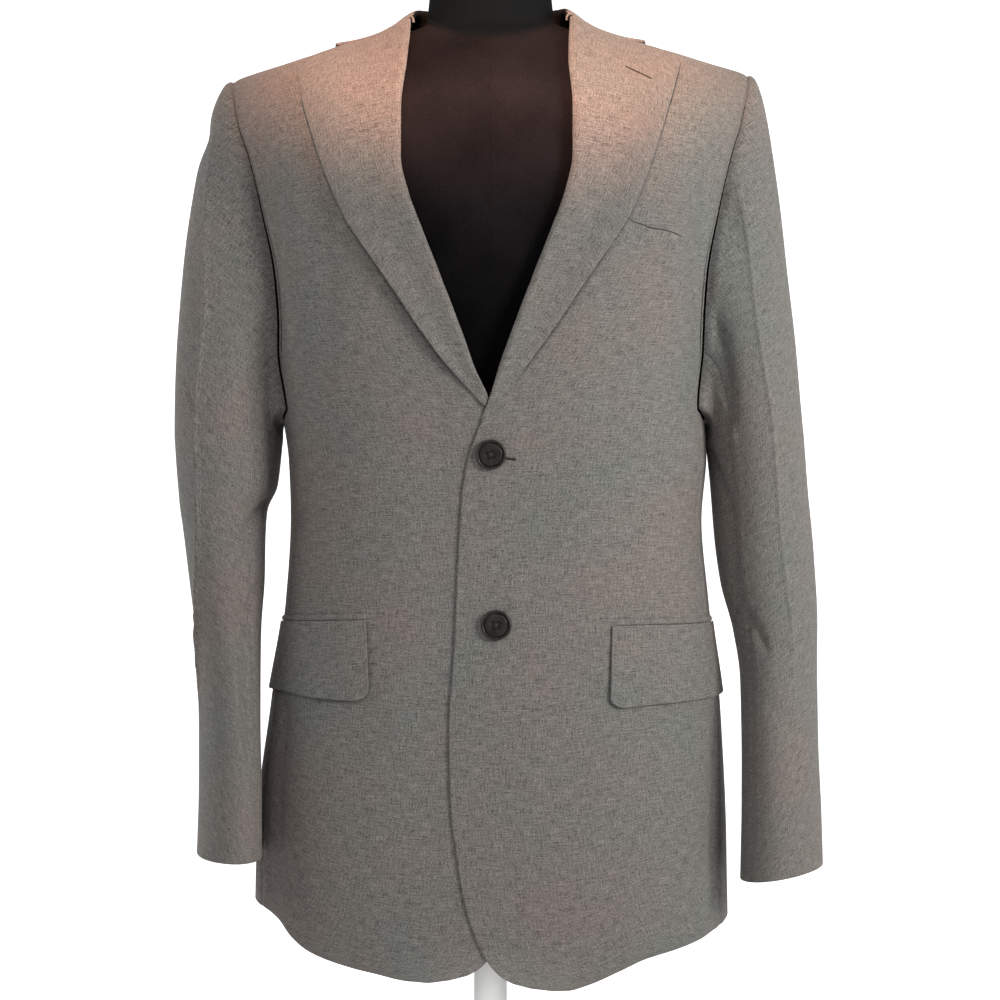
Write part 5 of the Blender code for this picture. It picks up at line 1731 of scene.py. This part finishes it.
def make_backdrop():
    """A pale floor that turns up behind into a wall."""
    wide, ahead, behind, tall, bend = 4.0, 3.2, 1.8, 4.0, 0.9
    turns = np.linspace(0.0, np.pi / 2, 17)
    arc = [(behind + bend * np.sin(turn), bend - bend * np.cos(turn)) for turn in turns]
    line = [(-ahead, 0.0), *arc, (behind + bend, tall)]
    shape = bmesh.new()
    verts = [shape.verts.new((-wide, y, z - FLOOR_GAP)) for y, z in line]
    edges = [shape.edges.new(pair) for pair in zip(verts, verts[1:])]
    pulled = bmesh.ops.extrude_edge_only(shape, edges=edges)["geom"]
    bmesh.ops.translate(shape, vec=(2 * wide, 0, 0), verts=verts_in(pulled))
    mesh = bpy.data.meshes.new("backdrop")
    bmesh.ops.recalc_face_normals(shape, faces=shape.faces)
    shape.to_mesh(mesh)
    shape.free()
    mesh.shade_smooth()
    mesh.materials.append(look("pale_paper"))
    backdrop = bpy.data.objects.new("backdrop", mesh)
    bpy.context.collection.objects.link(backdrop)


def make_camera():
    """The camera stands straight in front, level with the waist."""
    camera = bpy.data.cameras.new("camera")
    camera.lens = 82.08
    camera.sensor_width = 36.0
    thing = bpy.data.objects.new("camera", camera)
    thing.location = (0.008, -1.92, 0.688)
    thing.rotation_euler = (np.pi / 2, 0.0, 0.0)
    bpy.context.collection.objects.link(thing)
    bpy.context.scene.camera = thing


# The add-on.

class ClothSettings(bpy.types.PropertyGroup):
    """Creases, yarns and colours of the cloth."""

    crease: FloatProperty(
        name="Creases", description="Share of the drawn depth of every crease", default=1.0,
        min=0.0, max=2.0, subtype="FACTOR")
    ripple: FloatProperty(
        name="Ripples", description="Height of the small uneven waves", default=0.00016,
        unit="LENGTH", precision=5)
    light_yarn: FloatVectorProperty(
        name="Light yarn", description="Colour of the lightest threads", subtype="COLOR",
        default=(0.320, 0.312, 0.299))
    dark_yarn: FloatVectorProperty(
        name="Dark yarn", description="Colour of the darkest threads", subtype="COLOR",
        default=(0.051, 0.0495, 0.0475))
    streaks: FloatProperty(
        name="Streaks", description="How strongly single threads show", default=0.70, min=0.0,
        max=4.0)
    flecks: FloatProperty(
        name="Flecks", description="How strongly the flecks show", default=1.2, min=0.0, max=4.0)
    rosy: FloatVectorProperty(
        name="Rosy tint", description="Warm end of the slow colour drift", subtype="COLOR",
        default=(1.09, 0.99, 0.965), max=2.0)
    greenish: FloatVectorProperty(
        name="Greenish tint", description="Cool end of the slow colour drift", subtype="COLOR",
        default=(0.94, 0.985, 0.965), max=2.0)


class ButtonSettings(bpy.types.PropertyGroup):
    """Sizes and colours of the buttons."""

    radius: FloatProperty(
        name="Radius", description="Radius of a button", default=0.012, unit="LENGTH")
    thickness: FloatProperty(
        name="Thickness", description="Height of the rim", default=0.0038, unit="LENGTH")
    hole: FloatProperty(
        name="Hole radius", description="Radius of each of the four holes", default=0.0012,
        unit="LENGTH")
    hole_spread: FloatProperty(
        name="Hole spread", description="Distance of the holes from the middle, both ways",
        default=0.0019, unit="LENGTH")
    dark: FloatVectorProperty(
        name="Dark horn", description="Darkest colour of the horn", subtype="COLOR",
        default=(0.006, 0.0047, 0.0040))
    light: FloatVectorProperty(
        name="Light horn", description="Lightest colour of the horn", subtype="COLOR",
        default=(0.025, 0.020, 0.0152))


class FormSettings(bpy.types.PropertyGroup):
    """Colours of the dress form."""

    dark: FloatVectorProperty(
        name="Dark jersey", description="Darkest colour of the jersey", subtype="COLOR",
        default=(0.0074, 0.0066, 0.0076))
    light: FloatVectorProperty(
        name="Light jersey", description="Lightest colour of the jersey", subtype="COLOR",
        default=(0.018, 0.016, 0.0178))
    # Painted shade: the neck is the same jersey, darker and cooler than the rest.
    neck: FloatVectorProperty(
        name="Neck", description="Colour of the jersey over the neck seam", subtype="COLOR",
        default=(0.0046, 0.0072, 0.0090))


class StageSettings(bpy.types.PropertyGroup):
    """Light and backdrop of the studio."""

    paper: FloatVectorProperty(
        name="Paper", description="Colour of the floor and backdrop", subtype="COLOR",
        default=(0.92, 0.92, 0.92))
    daylight: FloatProperty(
        name="Daylight", description="Strength of the even light from all round", default=0.28,
        min=0.0)
    key: FloatProperty(
        name="Key", description="Power of the main lamp", default=17.8, unit="POWER")
    fill: FloatProperty(
        name="Fill", description="Power of the lamp in front", default=2.4, unit="POWER")
    side: FloatProperty(
        name="Side", description="Power of the lamp at the far side", default=7.5, unit="POWER")
    foot: FloatProperty(
        name="Foot", description="Power of the lamp on the pole", default=60.0, unit="POWER")
    warm: FloatProperty(
        name="Warm spot", description="Power of the warm lamp over the collar", default=465.0,
        unit="POWER")


class SewFronts(bpy.types.Operator):
    """Sew both fronts"""

    bl_idname = "blazer.sew_fronts"
    bl_label = "Fronts"

    def execute(self, context):
        sew_front("right")
        sew_front("left")
        return {"FINISHED"}


class SewSides(bpy.types.Operator):
    """Sew both side panels"""

    bl_idname = "blazer.sew_sides"
    bl_label = "Side panels"

    def execute(self, context):
        sew_side("left")
        sew_side("right")
        return {"FINISHED"}


class SewBack(bpy.types.Operator):
    """Sew both halves of the back"""

    bl_idname = "blazer.sew_back"
    bl_label = "Back"

    def execute(self, context):
        sew_back("left")
        sew_back("right")
        return {"FINISHED"}


class SewLapels(bpy.types.Operator):
    """Sew both lapels"""

    bl_idname = "blazer.sew_lapels"
    bl_label = "Lapels"

    def execute(self, context):
        sew_lapel("left")
        sew_lapel("right")
        return {"FINISHED"}


class SewCollar(bpy.types.Operator):
    """Sew the collar"""

    bl_idname = "blazer.sew_collar"
    bl_label = "Collar"

    def execute(self, context):
        sew_collar()
        sew_gorge("left")
        sew_gorge("right")
        return {"FINISHED"}


class SewSleeves(bpy.types.Operator):
    """Sew both sleeves"""

    bl_idname = "blazer.sew_sleeves"
    bl_label = "Sleeves"

    def execute(self, context):
        sew_sleeve("left")
        sew_sleeve("right")
        return {"FINISHED"}


class SewPockets(bpy.types.Operator):
    """Sew the pocket flaps, their jets and the breast welt"""

    bl_idname = "blazer.sew_pockets"
    bl_label = "Pockets"

    def execute(self, context):
        sew_flap("left")
        sew_flap("right")
        sew_welt()
        return {"FINISHED"}


class FastenButtons(bpy.types.Operator):
    """Make the buttons and the sewn buttonholes"""

    bl_idname = "blazer.fasten_buttons"
    bl_label = "Buttons"

    def execute(self, context):
        for button in BUTTONS:
            make_button(button)
        for hole in HOLES:
            make_hole(hole)
        return {"FINISHED"}


class MakeForm(bpy.types.Operator):
    """Make the dress form and the seams of its cover"""

    bl_idname = "blazer.make_form"
    bl_label = "Dress form"

    def execute(self, context):
        make_form()
        return {"FINISHED"}


class MakeStand(bpy.types.Operator):
    """Make the pole, socket and base"""

    bl_idname = "blazer.make_stand"
    bl_label = "Stand"

    def execute(self, context):
        make_stand()
        return {"FINISHED"}


class SetStage(bpy.types.Operator):
    """Set the backdrop, lights and camera"""

    bl_idname = "blazer.set_stage"
    bl_label = "Stage"

    def execute(self, context):
        stage = context.scene.blazer_stage
        make_backdrop()
        world = bpy.data.worlds.new("studio")
        world.use_nodes = True
        background = world.node_tree.nodes["Background"]
        background.inputs["Color"].default_value = (1.0, 1.0, 1.0, 1.0)
        background.inputs["Strength"].default_value = stage.daylight
        context.scene.world = world
        add_lamp("key", "AREA", (1.12, -1.0, 1.04), (0.1, 0.0, 1.20), stage.key,
                 (1.0, 0.97, 0.93), size=0.5)
        add_lamp("fill", "AREA", (-0.3, -1.3, 1.6), (0.0, 0.0, 1.15), stage.fill,
                 (1.0, 0.98, 0.95), size=0.5)
        add_lamp("side", "AREA", (-1.6, -0.3, 1.5), (-0.1, 0.0, 1.1), stage.side,
                 (1.0, 0.96, 0.92), size=0.8)
        warm = add_lamp("warm", "SPOT", (0.0, -2.2, 1.75), (0.003, -0.06, 1.11), stage.warm,
                        (1.0, 0.50, 0.32), spot_size=np.radians(9.6), spot_blend=0.38,
                        shadow_soft_size=0.05)
        warm.scale.x = 1.26
        add_lamp("foot", "SPOT", (0.0, -1.6, 0.12), (0.0, 0.0, 0.19), stage.foot,
                 (1.0, 1.0, 1.0), spot_size=np.radians(9.0), spot_blend=0.2, shadow_soft_size=0.05)
        make_camera()
        context.scene.view_settings.view_transform = "Standard"
        return {"FINISHED"}


class BlazerPanel(bpy.types.Panel):
    """Settings and steps of the blazer"""

    bl_idname = "VIEW3D_PT_blazer"
    bl_label = "Blazer"
    bl_space_type = "VIEW_3D"
    bl_region_type = "UI"
    bl_category = "Blazer"

    def draw(self, context):
        for name in SETTINGS:
            group = getattr(context.scene, name)
            box = self.layout.box()
            for key in group.bl_rna.properties.keys():
                if key not in ("rna_type", "name"):
                    box.prop(group, key)
        for step in STEPS:
            self.layout.operator(step.bl_idname)


SETTINGS = {
    "blazer_cloth": ClothSettings,
    "blazer_buttons": ButtonSettings,
    "blazer_form": FormSettings,
    "blazer_stage": StageSettings,
}
STEPS = (
    SewFronts, SewSides, SewBack, SewLapels, SewCollar, SewSleeves, SewPockets, FastenButtons,
    MakeForm, MakeStand, SetStage,
)


def register():
    for name, group in SETTINGS.items():
        bpy.utils.register_class(group)
        setattr(bpy.types.Scene, name, PointerProperty(type=group))
    for step in STEPS:
        bpy.utils.register_class(step)
    bpy.utils.register_class(BlazerPanel)


def unregister():
    bpy.utils.unregister_class(BlazerPanel)
    for step in reversed(STEPS):
        bpy.utils.unregister_class(step)
    for name, group in SETTINGS.items():
        delattr(bpy.types.Scene, name)
        bpy.utils.unregister_class(group)


def main():
    """Register the add-on and run its steps in order."""
    register()
    for step in STEPS:
        area, name = step.bl_idname.split(".")
        getattr(getattr(bpy.ops, area), name)()


if __name__ == "__main__":
    main()
